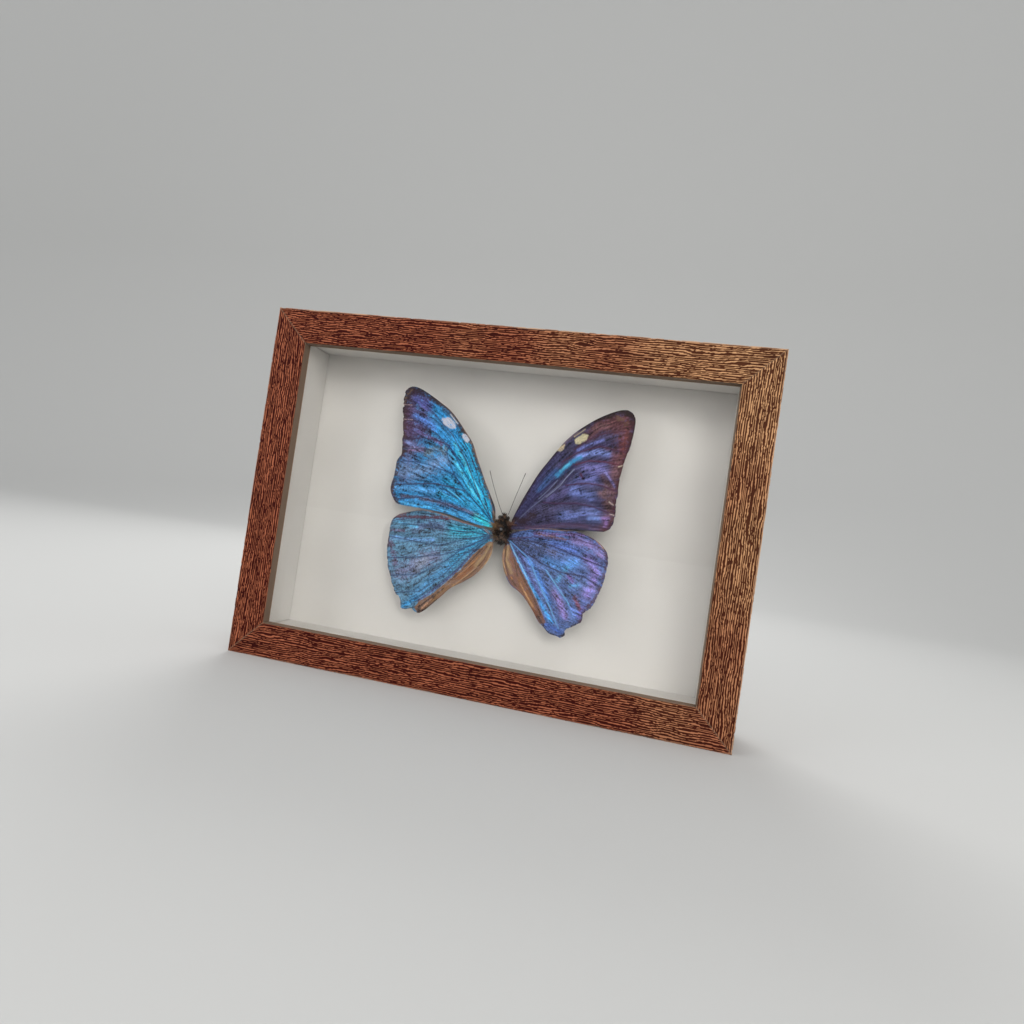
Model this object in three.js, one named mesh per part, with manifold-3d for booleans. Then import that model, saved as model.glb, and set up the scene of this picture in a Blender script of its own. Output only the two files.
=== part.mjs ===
// A blue butterfly, wings spread, in a glazed shadow-box frame that stands on its bottom rail.
// Millimetres. +Z is up and the glass faces -Y. The origin is the middle of the frame's underside.

import * as THREE from 'three';
import { mergeVertices } from 'three/addons/utils/BufferGeometryUtils.js';
import Module from 'manifold-3d';

const wasm = await Module();
wasm.setup();

// The frame: four mitred rails, each with a lip in front of the glass and a wall beside it.
const FRAME_WIDTH = 230;
const FRAME_HEIGHT = 165.5;
const FRAME_DEPTH = 36.5;
const RAIL_FACE = 16;
const RAIL_WALL = 10;
const LIP_DEPTH = 5.4;
const EDGE_CHAMFER = 0.6;
const MITRE_SETBACK = 0.2;

// Clearance left between pieces that rest against each other.
const FIT_GAP = 0.3;

// Facets round a small turned piece or hole, and the reach of a tool that cuts right through.
const ROUND_FACETS = 12;
const THROUGH = 12;

// What the rabbet holds, from the lip to the back: glass, liner strips, card and board.
const GLASS_THICKNESS = 2;
const LINER_THICKNESS = 3.2;
const LINER_WIDTH = 20.7;
const CARD_THICKNESS = 2;
const BOARD_THICKNESS = 3;

// Bendable tabs, pressed into the rails and lying on the back board.
const TAB_WIDTH = 8;
const TAB_REACH = 8;
const TAB_IN_RAIL = 3.5;
const TAB_THICKNESS = 0.5;
const TAB_SPACING = 120;

// Sawtooth hanger, joggled so that its middle stands off the board, and its two nails.
const HANGER_LENGTH = 46;
const HANGER_WIDTH = 8;
const HANGER_THICKNESS = 0.5;
const HANGER_RISE = 0.9;
const HANGER_END = 8;
const HANGER_BEND = 3;
const HANGER_DROP = 22;
const TOOTH_COUNT = 9;
const TOOTH_PITCH = 2.4;
const TOOTH_RADIUS = 1.5;
const NAIL_RADIUS = 0.6;
const NAIL_HEAD_RADIUS = 1.7;
const NAIL_HEAD_THICKNESS = 0.5;
const NAIL_IN_BOARD = 2;

// The specimen's datum is the middle of its thorax.
const SPECIMEN_X = 4.5;
const SPECIMEN_Z = 75;
const SPECIMEN_DEPTH = 19.5;
const PIN_RADIUS = 0.25;
const PIN_HEAD_RADIUS = 0.6;
const PIN_HEAD_THICKNESS = 0.4;
const PIN_Z = 0.9;
const PIN_IN_CARD = 1.2;

// Wings: thin plates that dip along each vein and swell between the veins.
const WING_THICKNESS = 0.5;
const PLEAT_HEIGHT = 0.9;
const PLEAT_REACH = 3.5;
const TIP_RISE = 1.5;
const HALF_SPAN = 55;
const FOREWING_OFFSET = -0.9;
const HINDWING_OFFSET = 0.6;
const STEPS_OUT = 14;
const STEPS_ACROSS = 20;

// Distances behind the front of the frame, worked out from the thicknesses above.
const GLASS_DEPTH = LIP_DEPTH + FIT_GAP;
const LINER_DEPTH = GLASS_DEPTH + GLASS_THICKNESS + FIT_GAP;
const CARD_DEPTH = LINER_DEPTH + LINER_WIDTH + FIT_GAP;
const BOARD_DEPTH = CARD_DEPTH + CARD_THICKNESS + FIT_GAP;
const TAB_DEPTH = BOARD_DEPTH + BOARD_THICKNESS + FIT_GAP;
const HALF_INSIDE_WIDTH = FRAME_WIDTH / 2 - RAIL_WALL - FIT_GAP;
const HALF_INSIDE_HEIGHT = FRAME_HEIGHT / 2 - RAIL_WALL - FIT_GAP;

const FINISHES = {
  foil: { color: 0x7a4a36, roughness: 0.55, metalness: 0 },
  glass: { color: 0xdfe9ea, roughness: 0.05, metalness: 0 },
  white: { color: 0xd9d6d1, roughness: 0.9, metalness: 0 },
  fibreboard: { color: 0x8a6a48, roughness: 0.85, metalness: 0 },
  steel: { color: 0x9a9a98, roughness: 0.35, metalness: 1 },
  brass: { color: 0xb08d4a, roughness: 0.4, metalness: 1 },
  cyan: { color: 0x2f93c4, roughness: 0.4, metalness: 0.3 },
  indigo: { color: 0x4d4f86, roughness: 0.4, metalness: 0.3 },
  umber: { color: 0x2a1c14, roughness: 0.9, metalness: 0 },
};

// Each wing is drawn by three edges, [x, z] from the thorax's middle: the leading edge from root
// to apex, the outer margin from apex to rear corner, and the trailing edge from root to rear
// corner. The veins are the lines that its pleats follow.
const WINGS = {
  forewing_left: {
    finish: 'cyan',
    offset: FOREWING_OFFSET,
    leading: [[-3.9, 5.8], [-7.2, 14.5], [-16.1, 31.6], [-25.2, 45.5], [-38.5, 56.8], [-51.5, 62.6]],
    outer: [[-51.5, 62.6], [-56.2, 59.8], [-56.9, 52], [-54.6, 38], [-54.7, 28], [-56.8, 14], [-53.7, 6.3]],
    trailing: [[-4.4, 0.9], [-18.6, 2.7], [-38.6, 5], [-53.7, 6.3]],
    veins: [
      [[-4.6, 3.2], [-12.4, 13.3], [-24.9, 28.7], [-31, 36.3], [-43.9, 38.6], [-55, 36.8]],
      [[-12.4, 13.3], [-21.8, 30.8], [-30.4, 41.9], [-50.9, 57.1]],
      [[-31, 36.3], [-38.5, 41.6], [-56.6, 46.2]],
      [[-4.6, 2.9], [-20.2, 16.3], [-26.7, 23.2], [-39.6, 26.3], [-55.6, 25.9]],
      [[-20.2, 16.2], [-34.8, 17.7], [-56.4, 14.5]],
      [[-4.6, 2.6], [-25.2, 7.7], [-38.4, 10.5], [-55, 8.5]],
    ],
  },
  forewing_right: {
    finish: 'indigo',
    offset: FOREWING_OFFSET,
    leading: [[4, 5.6], [10.5, 22.2], [20.6, 40.4], [33.1, 54], [46.4, 61.5], [51.4, 61.1]],
    outer: [[51.4, 61.1], [53.4, 55], [51.3, 41], [49.9, 27], [50.4, 13.3], [46.7, 6.4]],
    trailing: [[4.4, 1.2], [19.8, 3.8], [31.8, 5.3], [46.7, 6.4]],
    veins: [
      [[4.8, 3.9], [13.4, 17.8], [22.1, 27.3], [29.4, 34.7], [42.9, 37.8], [51.5, 37]],
      [[23.4, 35.4], [29.8, 40.3], [39.9, 44.4], [51, 43.3]],
      [[27.9, 41.7], [39.1, 49.9], [50.5, 52.7]],
      [[4.8, 3.7], [12.1, 12.5], [24.8, 26], [37, 27.2], [49.9, 25.2]],
      [[12.1, 12.5], [23.7, 16.2], [40.6, 16.9], [50.2, 14.6]],
      [[4.9, 3.5], [15.4, 4.9], [35.6, 8.6], [49.5, 8.4]],
    ],
  },
  hindwing_left: {
    finish: 'cyan',
    offset: HINDWING_OFFSET,
    leading: [[-4, -0.6], [-11.9, 0.6], [-30.1, 3.8], [-39, 4.5], [-51.1, 0.8]],
    outer: [[-51.1, 0.8], [-54.9, -9.5], [-54.2, -20.7], [-50.8, -30], [-44.4, -39.6], [-41.2, -43.9]],
    trailing: [[-3.4, -5], [-3.9, -11.4], [-9.5, -21.9], [-20.6, -30.3], [-34.5, -43.5], [-41.2, -43.9]],
    veins: [
      [[-5.4, -3], [-20.9, -3.2], [-49.4, -3.5]],
      [[-5.4, -3], [-15.2, -5.8], [-30.4, -11.5], [-55.3, -10.4]],
      [[-5.1, -3], [-27.1, -15.3], [-42.4, -19], [-54.1, -20.8]],
      [[-5.1, -3.2], [-18.7, -11.9], [-37.6, -26.4], [-51.4, -29.1]],
      [[-5.1, -3.4], [-25.6, -25.3], [-35.5, -34.3], [-47.4, -36.7]],
      [[-5, -3.6], [-12.2, -11.3], [-18.3, -20.8], [-33.3, -38.7]],
    ],
  },
  hindwing_right: {
    finish: 'indigo',
    offset: HINDWING_OFFSET,
    leading: [[4, -0.8], [12.9, 2.8], [26.8, 4.4], [38.9, 3.9], [47.6, -0.4]],
    outer: [[47.6, -0.4], [50.8, -8.1], [49.6, -18.3], [43.9, -31.3], [39.5, -38.2], [34.1, -44.3]],
    trailing: [[2.5, -4.8], [1.8, -10.2], [4.9, -20.5], [15.8, -29.9], [25.4, -40.4], [34.1, -44.3]],
    veins: [
      [[4.3, -3.4], [15.1, -2.6], [25.3, -3.6], [49.5, -9.3]],
      [[4.4, -3.8], [13.4, -8.7], [30.2, -14.8], [47.9, -18.1]],
      [[13.4, -8.7], [22.7, -14.7], [34.5, -26.9], [38.3, -33.6]],
      [[4.4, -4], [15.1, -11.4], [24.5, -26.5], [32.7, -40.3]],
      [[4, -4.3], [8.9, -12.3], [17.1, -26], [24.5, -37.3]],
    ],
  },
};

// Two feelers, each a curve of three points [x, depth, z] from the thorax's middle.
const ANTENNAE = {
  antenna_left: [[-1.4, -0.9, 8.1], [-5.4, -1.8, 15], [-10, -2.6, 27.1]],
  antenna_right: [[1.5, -0.9, 8.1], [4, -1.8, 18], [7, -2.6, 28]],
};
const ANTENNA_RADIUS = 0.25;
const ANTENNA_STEPS = 10;

// The rounded masses that make up the body: half-sizes [x, depth, z] and centres. Each has this
// many facets round it and from pole to pole.
const BODY_FACETS = [14, 10];
const BODY_MASSES = [
  { half: [2.9, 2.6, 3.8], at: [0, 0, 1.6] },
  { half: [2.5, 2.4, 4.4], at: [0, 0, -2.2] },
  { half: [1.6, 1.5, 1.6], at: [0, 0, 4.8] },
  { half: [2, 1.7, 1.6], at: [0, 0, 6.2] },
  { half: [1.3, 1.3, 1.4], at: [-2, -0.2, 6.3] },
  { half: [1.3, 1.3, 1.4], at: [2, -0.2, 6.3] },
  { half: [0.8, 0.8, 1.1], at: [0, -0.3, 7.4] },
  { half: [1, 0.9, 2], at: [-2.4, -0.3, 3.4] },
  { half: [1, 0.9, 2], at: [2.4, -0.3, 3.4] },
];

const model = new THREE.Group();
const frame = new THREE.Group();
frame.position.set(0, 0, FRAME_HEIGHT / 2);
const specimen = new THREE.Group();
specimen.position.set(SPECIMEN_X, SPECIMEN_DEPTH - FRAME_DEPTH / 2, SPECIMEN_Z);
model.add(frame, specimen);

function add(parent, name, geometry, finish, place = [0, 0, 0]) {
  geometry.computeVertexNormals();
  const mesh = new THREE.Mesh(geometry, new THREE.MeshStandardMaterial(FINISHES[finish]));
  mesh.name = name;
  mesh.position.set(...place);
  parent.add(mesh);
}

function toSolid(geometry) {
  const bare = geometry.clone();
  bare.deleteAttribute('normal');
  bare.deleteAttribute('uv');
  const merged = mergeVertices(bare);
  return new wasm.Manifold(new wasm.Mesh({
    numProp: 3,
    vertProperties: new Float32Array(merged.attributes.position.array),
    triVerts: new Uint32Array(merged.index.array),
  }));
}

function toGeometry(solid) {
  const mesh = solid.getMesh();
  const geometry = new THREE.BufferGeometry();
  geometry.setAttribute('position', new THREE.BufferAttribute(mesh.vertProperties, 3));
  geometry.setIndex(new THREE.BufferAttribute(mesh.triVerts, 1));
  return geometry;
}

function cut(geometry, tools) {
  let solid = toSolid(geometry);
  for (const tool of tools) solid = solid.subtract(toSolid(tool));
  return toGeometry(solid);
}

function join(geometries) {
  const [first, ...rest] = geometries.map(toSolid);
  return rest.reduce((whole, solid) => whole.add(solid), first);
}

// Depth behind the front of the frame, as a Y in the frame's group.
const fromFront = (depth) => depth - FRAME_DEPTH / 2;

// A round hole along Y, wide enough to clear a shank of this radius.
function boreTool(radius, length, [x, y, z]) {
  const clear = radius + FIT_GAP;
  return new THREE.CylinderGeometry(clear, clear, length, ROUND_FACETS).translate(x, y, z);
}

// A flat plate from an outline in x and z, its thickness running back from depth zero.
function plate(outline, thickness) {
  const extrusion = { depth: thickness, bevelEnabled: false, curveSegments: 6 };
  const geometry = new THREE.ExtrudeGeometry(outline, extrusion);
  return geometry.rotateX(Math.PI / 2).translate(0, thickness, 0);
}

// A rail's section: x is the distance in from the frame's outer face, y the depth.
function railSection() {
  const section = new THREE.Shape();
  section.moveTo(0, EDGE_CHAMFER);
  section.lineTo(EDGE_CHAMFER, 0);
  section.lineTo(RAIL_FACE - EDGE_CHAMFER, 0);
  section.lineTo(RAIL_FACE, EDGE_CHAMFER);
  section.lineTo(RAIL_FACE, LIP_DEPTH);
  section.lineTo(RAIL_WALL, LIP_DEPTH);
  section.lineTo(RAIL_WALL, FRAME_DEPTH);
  section.lineTo(0, FRAME_DEPTH);
  return section;
}

// A rail along X, its outer face down. It gets shorter with each step in, so it ends in mitres.
function mitredRail(length, outward) {
  const rail = new THREE.ExtrudeGeometry(railSection(), { depth: 1, bevelEnabled: false });
  const position = rail.attributes.position;
  for (let i = 0; i < position.count; i += 1) {
    const inset = position.getX(i);
    const halfLength = length / 2 - MITRE_SETBACK - inset;
    const along = (1 - 2 * position.getZ(i)) * halfLength;
    position.setXYZ(i, along, fromFront(position.getY(i)), inset - outward);
  }
  return rail;
}

// A tab: square where it enters the rail, with a rounded end over the board.
function tabGeometry(along, outward) {
  const radius = TAB_WIDTH / 2;
  const inRail = RAIL_WALL - TAB_IN_RAIL - outward;
  const roundFrom = RAIL_WALL + TAB_REACH - radius - outward;
  const outline = new THREE.Shape();
  outline.moveTo(along - radius, inRail);
  outline.lineTo(along + radius, inRail);
  outline.lineTo(along + radius, roundFrom);
  outline.absarc(along, roundFrom, radius, 0, Math.PI, false);
  return plate(outline, TAB_THICKNESS);
}

// The slot that a tab is pressed into, open at the rail's inner wall.
function tabSlotTool(along, outward) {
  const overshoot = 1;
  const deep = TAB_IN_RAIL + FIT_GAP + overshoot;
  const slot = new THREE.BoxGeometry(TAB_WIDTH + 2 * FIT_GAP, TAB_THICKNESS + 2 * FIT_GAP, deep);
  const middle = RAIL_WALL + overshoot - deep / 2 - outward;
  return slot.translate(along, fromFront(TAB_DEPTH + TAB_THICKNESS / 2), middle);
}

function addRailsAndTabs() {
  const pair = [-TAB_SPACING / 2, TAB_SPACING / 2];
  const longSide = { length: FRAME_WIDTH, outward: FRAME_HEIGHT / 2, tabs: pair };
  const shortSide = { length: FRAME_HEIGHT, outward: FRAME_WIDTH / 2, tabs: [0] };
  const sides = [
    { name: 'bottom', turn: 0, ...longSide },
    { name: 'right', turn: -Math.PI / 2, ...shortSide },
    { name: 'top', turn: Math.PI, ...longSide },
    { name: 'left', turn: Math.PI / 2, ...shortSide },
  ];
  for (const { name, turn, length, outward, tabs } of sides) {
    const holder = new THREE.Group();
    holder.rotation.y = turn;
    frame.add(holder);
    const slots = tabs.map((along) => tabSlotTool(along, outward));
    add(holder, `rail_${name}`, cut(mitredRail(length, outward), slots), 'foil');
    tabs.forEach((along, i) => {
      const place = [0, fromFront(TAB_DEPTH), 0];
      add(holder, `tab_${name}_${i + 1}`, tabGeometry(along, outward), 'steel', place);
    });
  }
}

// A sheet that fills the rabbet, from a depth behind the front.
function insideSheet(depth, thickness) {
  const sheet = new THREE.BoxGeometry(2 * HALF_INSIDE_WIDTH, thickness, 2 * HALF_INSIDE_HEIGHT);
  return sheet.translate(0, fromFront(depth + thickness / 2), 0);
}

function addLiner() {
  const depth = fromFront(LINER_DEPTH + LINER_WIDTH / 2);
  const upright = 2 * (HALF_INSIDE_HEIGHT - LINER_THICKNESS - FIT_GAP);
  for (const [name, side] of [['top', 1], ['bottom', -1]]) {
    const strip = new THREE.BoxGeometry(2 * HALF_INSIDE_WIDTH, LINER_WIDTH, LINER_THICKNESS);
    const height = side * (HALF_INSIDE_HEIGHT - LINER_THICKNESS / 2);
    add(frame, `liner_${name}`, strip, 'white', [0, depth, height]);
  }
  for (const [name, side] of [['right', 1], ['left', -1]]) {
    const strip = new THREE.BoxGeometry(LINER_THICKNESS, LINER_WIDTH, upright);
    const across = side * (HALF_INSIDE_WIDTH - LINER_THICKNESS / 2);
    add(frame, `liner_${name}`, strip, 'white', [across, depth, 0]);
  }
}

// Where the two nails stand: mirrored in x, at the hanger's height on the board.
const NAIL_X = HANGER_LENGTH / 2 - HANGER_END / 2;
const HANGER_Z = HALF_INSIDE_HEIGHT - HANGER_DROP;

// The hanger's edge view in x and depth, drawn out to its width and then notched and bored.
function hangerGeometry() {
  const end = HANGER_LENGTH / 2;
  const foot = end - HANGER_END;
  const shoulder = foot - HANGER_BEND;
  const board = [[-end, 0], [-foot, 0], [-shoulder, HANGER_RISE]];
  board.push([shoulder, HANGER_RISE], [foot, 0], [end, 0]);
  const outer = board.map(([x, depth]) => [x, depth + HANGER_THICKNESS]).reverse();
  const edgeView = [...board, ...outer].map(([x, depth]) => new THREE.Vector2(x, depth));
  const outline = new THREE.Shape(edgeView);
  const strip = new THREE.ExtrudeGeometry(outline, { depth: HANGER_WIDTH, bevelEnabled: false });
  strip.translate(0, 0, -HANGER_WIDTH / 2);
  const cuts = [-NAIL_X, NAIL_X].map((x) => boreTool(NAIL_RADIUS, THROUGH, [x, 0, 0]));
  for (let i = 0; i < TOOTH_COUNT; i += 1) {
    const notch = new THREE.CylinderGeometry(TOOTH_RADIUS, TOOTH_RADIUS, THROUGH, 3);
    const x = (i - (TOOTH_COUNT - 1) / 2) * TOOTH_PITCH;
    cuts.push(notch.translate(x, 0, -HANGER_WIDTH / 2));
  }
  return cut(strip, cuts);
}

// A turned piece: its profile is [radius, depth] pairs and starts and ends on the axis.
function turned(profile) {
  const points = profile.map(([radius, depth]) => new THREE.Vector2(radius, depth));
  return new THREE.LatheGeometry(points, ROUND_FACETS);
}

function addBoardAndHanger() {
  const boardBack = fromFront(BOARD_DEPTH + BOARD_THICKNESS);
  const deep = 2 * (NAIL_IN_BOARD + FIT_GAP);
  const holes = [-NAIL_X, NAIL_X].map((x) => boreTool(NAIL_RADIUS, deep, [x, boardBack, HANGER_Z]));
  add(frame, 'back_board', cut(insideSheet(BOARD_DEPTH, BOARD_THICKNESS), holes), 'fibreboard');
  const hangerDepth = boardBack + FIT_GAP;
  add(frame, 'sawtooth_hanger', hangerGeometry(), 'brass', [0, hangerDepth, HANGER_Z]);
  const head = FIT_GAP + HANGER_THICKNESS + FIT_GAP;
  const profile = [
    [0, -NAIL_IN_BOARD],
    [NAIL_RADIUS, -NAIL_IN_BOARD + 2 * NAIL_RADIUS],
    [NAIL_RADIUS, head],
    [NAIL_HEAD_RADIUS, head],
    [NAIL_HEAD_RADIUS, head + NAIL_HEAD_THICKNESS],
    [0, head + NAIL_HEAD_THICKNESS],
  ];
  for (const [name, x] of [['left', -NAIL_X], ['right', NAIL_X]]) {
    add(frame, `hanger_nail_${name}`, turned(profile), 'steel', [x, boardBack, HANGER_Z]);
  }
}

function spline(points) {
  return new THREE.SplineCurve(points.map(([x, z]) => new THREE.Vector2(x, z)));
}

// Each vein as straight lines from point to point, flat in x and z.
function veinLines(veins) {
  const lines = [];
  for (const vein of veins) {
    const points = vein.map(([x, z]) => new THREE.Vector3(x, 0, z));
    for (let i = 1; i < points.length; i += 1) lines.push(new THREE.Line3(points[i - 1], points[i]));
  }
  return lines;
}

// A wing swells towards the glass between its veins, and rises a little towards its tip.
function wingRelief(lines, x, z) {
  const here = new THREE.Vector3(x, 0, z);
  const nearest = new THREE.Vector3();
  let distance = Infinity;
  for (const line of lines) {
    line.closestPointToPoint(here, true, nearest);
    distance = Math.min(distance, nearest.distanceTo(here));
  }
  const swell = PLEAT_HEIGHT * (1 - Math.exp(-((distance / PLEAT_REACH) ** 2)));
  return -swell - TIP_RISE * (Math.abs(x) / HALF_SPAN);
}

// The wing's surface is ruled between its leading and trailing edges, and swells to the outer
// margin: u runs from the root to the margin, v from the leading to the trailing edge.
function wingPoints(wing) {
  const leading = spline(wing.leading);
  const outer = spline(wing.outer);
  const trailing = spline(wing.trailing);
  const apex = outer.getPoint(0);
  const corner = outer.getPoint(1);
  const lines = veinLines(wing.veins);
  const points = [];
  for (let i = 0; i <= STEPS_OUT; i += 1) {
    const u = i / STEPS_OUT;
    const front = leading.getPointAt(u);
    const rear = trailing.getPointAt(u);
    for (let j = 0; j <= STEPS_ACROSS; j += 1) {
      const v = j / STEPS_ACROSS;
      const bulge = outer.getPointAt(v).sub(apex.clone().lerp(corner, v)).multiplyScalar(u);
      const { x, y: z } = front.clone().lerp(rear, v).add(bulge);
      points.push([x, wing.offset + wingRelief(lines, x, z), z]);
    }
  }
  return points;
}

// A closed plate from the wing's surface: the front, the same surface behind it, and the rim.
function wingGeometry(wing) {
  const front = wingPoints(wing);
  const back = front.map(([x, depth, z]) => [x, depth + WING_THICKNESS, z]);
  const row = STEPS_ACROSS + 1;
  const layer = front.length;
  const triangles = [];
  const quad = (a, b, c, d) => triangles.push([a, b, c], [a, c, d]);
  for (let i = 0; i < STEPS_OUT; i += 1) {
    for (let j = 0; j < STEPS_ACROSS; j += 1) {
      const a = i * row + j;
      quad(a, a + row, a + row + 1, a + 1);
      quad(layer + a, layer + a + 1, layer + a + row + 1, layer + a + row);
    }
  }
  const rimWall = (from, to) => quad(to, from, from + layer, to + layer);
  for (let i = 0; i < STEPS_OUT; i += 1) {
    rimWall(i * row, (i + 1) * row);
    rimWall((i + 1) * row + STEPS_ACROSS, i * row + STEPS_ACROSS);
  }
  for (let j = 0; j < STEPS_ACROSS; j += 1) {
    rimWall(STEPS_OUT * row + j, STEPS_OUT * row + j + 1);
    rimWall(j + 1, j);
  }
  const facingGlass = wing.leading[0][0] < 0;
  const index = triangles.map(([a, b, c]) => (facingGlass ? [a, b, c] : [a, c, b])).flat();
  const geometry = new THREE.BufferGeometry();
  const position = new Float32Array([...front, ...back].flat());
  geometry.setAttribute('position', new THREE.BufferAttribute(position, 3));
  geometry.setIndex(index);
  return geometry;
}

function bodyGeometry() {
  const masses = BODY_MASSES.map(({ half, at }) => (
    new THREE.SphereGeometry(1, ...BODY_FACETS).scale(...half).translate(...at)
  ));
  const bore = boreTool(PIN_RADIUS, THROUGH, [0, 0, PIN_Z]);
  return toGeometry(join(masses).subtract(toSolid(bore)));
}

function antennaGeometry(points) {
  const path = new THREE.QuadraticBezierCurve3(...points.map((point) => new THREE.Vector3(...point)));
  const section = new THREE.Shape().absarc(0, 0, ANTENNA_RADIUS, 0, 2 * Math.PI, false);
  return new THREE.ExtrudeGeometry(section, {
    steps: ANTENNA_STEPS,
    curveSegments: 3,
    extrudePath: path,
    bevelEnabled: false,
  });
}

function addSpecimen() {
  for (const [name, wing] of Object.entries(WINGS)) {
    add(specimen, name, wingGeometry(wing), wing.finish);
  }
  add(specimen, 'body', bodyGeometry(), 'umber');
  for (const [name, points] of Object.entries(ANTENNAE)) {
    add(specimen, name, antennaGeometry(points), 'umber');
  }
  const thoraxFront = -BODY_MASSES[0].half[1] - FIT_GAP;
  const pinEnd = CARD_DEPTH - SPECIMEN_DEPTH + PIN_IN_CARD;
  const profile = [
    [0, thoraxFront - PIN_HEAD_THICKNESS],
    [PIN_HEAD_RADIUS, thoraxFront - PIN_HEAD_THICKNESS],
    [PIN_HEAD_RADIUS, thoraxFront],
    [PIN_RADIUS, thoraxFront],
    [PIN_RADIUS, pinEnd],
    [0, pinEnd],
  ];
  add(specimen, 'mounting_pin', turned(profile), 'steel', [0, 0, PIN_Z]);
}

function addCard() {
  const pinZ = SPECIMEN_Z + PIN_Z - FRAME_HEIGHT / 2;
  const deep = 2 * (PIN_IN_CARD + FIT_GAP);
  const hole = boreTool(PIN_RADIUS, deep, [SPECIMEN_X, fromFront(CARD_DEPTH), pinZ]);
  add(frame, 'backing_card', cut(insideSheet(CARD_DEPTH, CARD_THICKNESS), [hole]), 'white');
}

addRailsAndTabs();
add(frame, 'glass_pane', insideSheet(GLASS_DEPTH, GLASS_THICKNESS), 'glass');
addLiner();
addCard();
addBoardAndHanger();
addSpecimen();

export default model;
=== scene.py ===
import math

import bmesh
import bpy
import numpy as np
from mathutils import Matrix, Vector


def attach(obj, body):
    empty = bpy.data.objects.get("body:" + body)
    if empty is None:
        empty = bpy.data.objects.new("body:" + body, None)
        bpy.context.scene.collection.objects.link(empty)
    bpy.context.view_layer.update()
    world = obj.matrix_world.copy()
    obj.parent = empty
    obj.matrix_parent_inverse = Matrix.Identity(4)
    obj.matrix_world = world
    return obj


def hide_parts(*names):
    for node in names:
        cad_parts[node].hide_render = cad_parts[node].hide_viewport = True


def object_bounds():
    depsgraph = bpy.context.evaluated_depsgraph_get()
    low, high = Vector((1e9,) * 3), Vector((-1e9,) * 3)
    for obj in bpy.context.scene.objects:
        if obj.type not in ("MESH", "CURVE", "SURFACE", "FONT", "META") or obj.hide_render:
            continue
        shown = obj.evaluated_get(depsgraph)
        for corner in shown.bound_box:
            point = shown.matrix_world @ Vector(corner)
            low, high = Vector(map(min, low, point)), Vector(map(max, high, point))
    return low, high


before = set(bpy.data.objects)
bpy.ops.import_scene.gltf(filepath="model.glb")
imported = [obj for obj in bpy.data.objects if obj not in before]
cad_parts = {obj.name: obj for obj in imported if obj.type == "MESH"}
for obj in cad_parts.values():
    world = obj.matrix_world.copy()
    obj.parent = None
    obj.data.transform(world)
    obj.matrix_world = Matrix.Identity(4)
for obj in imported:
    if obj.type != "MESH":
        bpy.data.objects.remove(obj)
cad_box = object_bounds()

# Sizes are millimetres in the part's frame: X to the right, Y from the glass to the back, Z up.
# Blender's own unit is the metre.
MM = 0.001

FRAME_WIDTH, FRAME_DEPTH, FRAME_HEIGHT = [side / MM for side in cad_box[1] - cad_box[0]]
FRONT = cad_box[0].y / MM

# The rails' section, as the solid rails have it.
RAIL_FACE = 16.0
RAIL_WALL = 10.0
LIP_DEPTH = 5.4
EDGE_ROUND = 0.7
MITRE_SETBACK = 0.08

# The embossed grain of the foil: its relief, and the mesh steps that carry it.
GRAIN_RELIEF = 0.22
GRAIN_PITCH = 0.9
STEP_ALONG = 0.38
STEP_FACE = 0.28
STEP_SIDE = 0.45
STEP_BACK = 3.0

# The specimen's datum is the middle of its thorax.
SPECIMEN = np.array((4.5, 1.25, 75.0))

# A wing is a thin sheet: this many points from root to margin and from edge to edge.
WING_STEPS_OUT = 250
WING_STEPS_ACROSS = 180
WING_SHEET = 0.15
# Where the wings lie, counted to the back from the datum. Their tips rise towards the glass.
FOREWING_OFFSET = -0.9
HINDWING_OFFSET = 0.6
TIP_RISE = 1.5
HALF_SPAN = 55.0
# The relief between and on the veins. The margin's fray is a share of the wing's length.
PLEAT_HEIGHT = 0.9
PLEAT_REACH = 3.5
VEIN_HEIGHT = 0.16
VEIN_RADIUS = 0.3
WRINKLE_HEIGHT = 0.10
MARGIN_FRAY = 0.010
# A stroke of scales covers this share in its middle, and fades out over this share of its width.
# Where it is ragged, its edge wanders over this many widths. The underside is darker and browner.
STROKE_COVER = 0.9
STROKE_SOFTNESS = 0.72
STROKE_WANDER = 3.4
UNDERSIDE = (0.55, 0.45, 0.35, 1)

# The body's skin: its fineness, its lumps, and how far it lies inside the solid body. The right
# eye's middle and the height of the pin are counted from the datum.
BODY_VOXEL = 0.22
LUMP_HEIGHT = 1.3
SKIN_SINK = 0.45
EYE = (2.0, -0.2, 6.3)
PIN_UP = 0.9
# The hairs are drawn 0.1 mm thick, about five times the real thickness, so that they show.
HAIRS_PER_MM2 = 30.0
HAIR_LENGTH = 1.7
HAIR_RADIUS = 0.05
HAIR_LEAN = 0.45

# A feeler's thickness, its joints and its bend: root, middle and tip from the datum.
SHAFT_RADIUS = 0.12
CLUB_RADIUS = 0.18
FEELER_JOINTS = 38.0
ANTENNAE = {
    "left": [(-0.9, -0.9, 8.0), (-4.8, -1.8, 15), (-9.4, -2.6, 27.1)],
    "right": [(2.0, -0.9, 8.0), (4.6, -1.8, 18), (7.6, -2.6, 28)],
}

# Where the camera stands, how it is turned in degrees about X, Y and Z, and its focal length.
CAMERA_PLACE = (63.50, -278.85, 80.56)
CAMERA_TURN = (90.79, -8.315, 11.151)
CAMERA_LENS = 21.4476
SWEEP_FRONT = 700
SWEEP_RADIUS = 900

# Random values come from a square of this many cells that repeats.
NOISE_CELLS = 256

# Sockets of a colour Mix node.
MIX_A, MIX_B, MIX_RESULT = 6, 7, 2


def linear(colour):
    """An sRGB hex colour as linear red, green, blue and an alpha of 1."""
    channels = [int(colour[i:i + 2], 16) / 255 for i in (1, 3, 5)]
    return [c / 12.92 if c <= 0.04045 else ((c + 0.055) / 1.055) ** 2.4 for c in channels] + [1.0]


def ease(share):
    return share * share * (3 - 2 * share)


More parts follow.
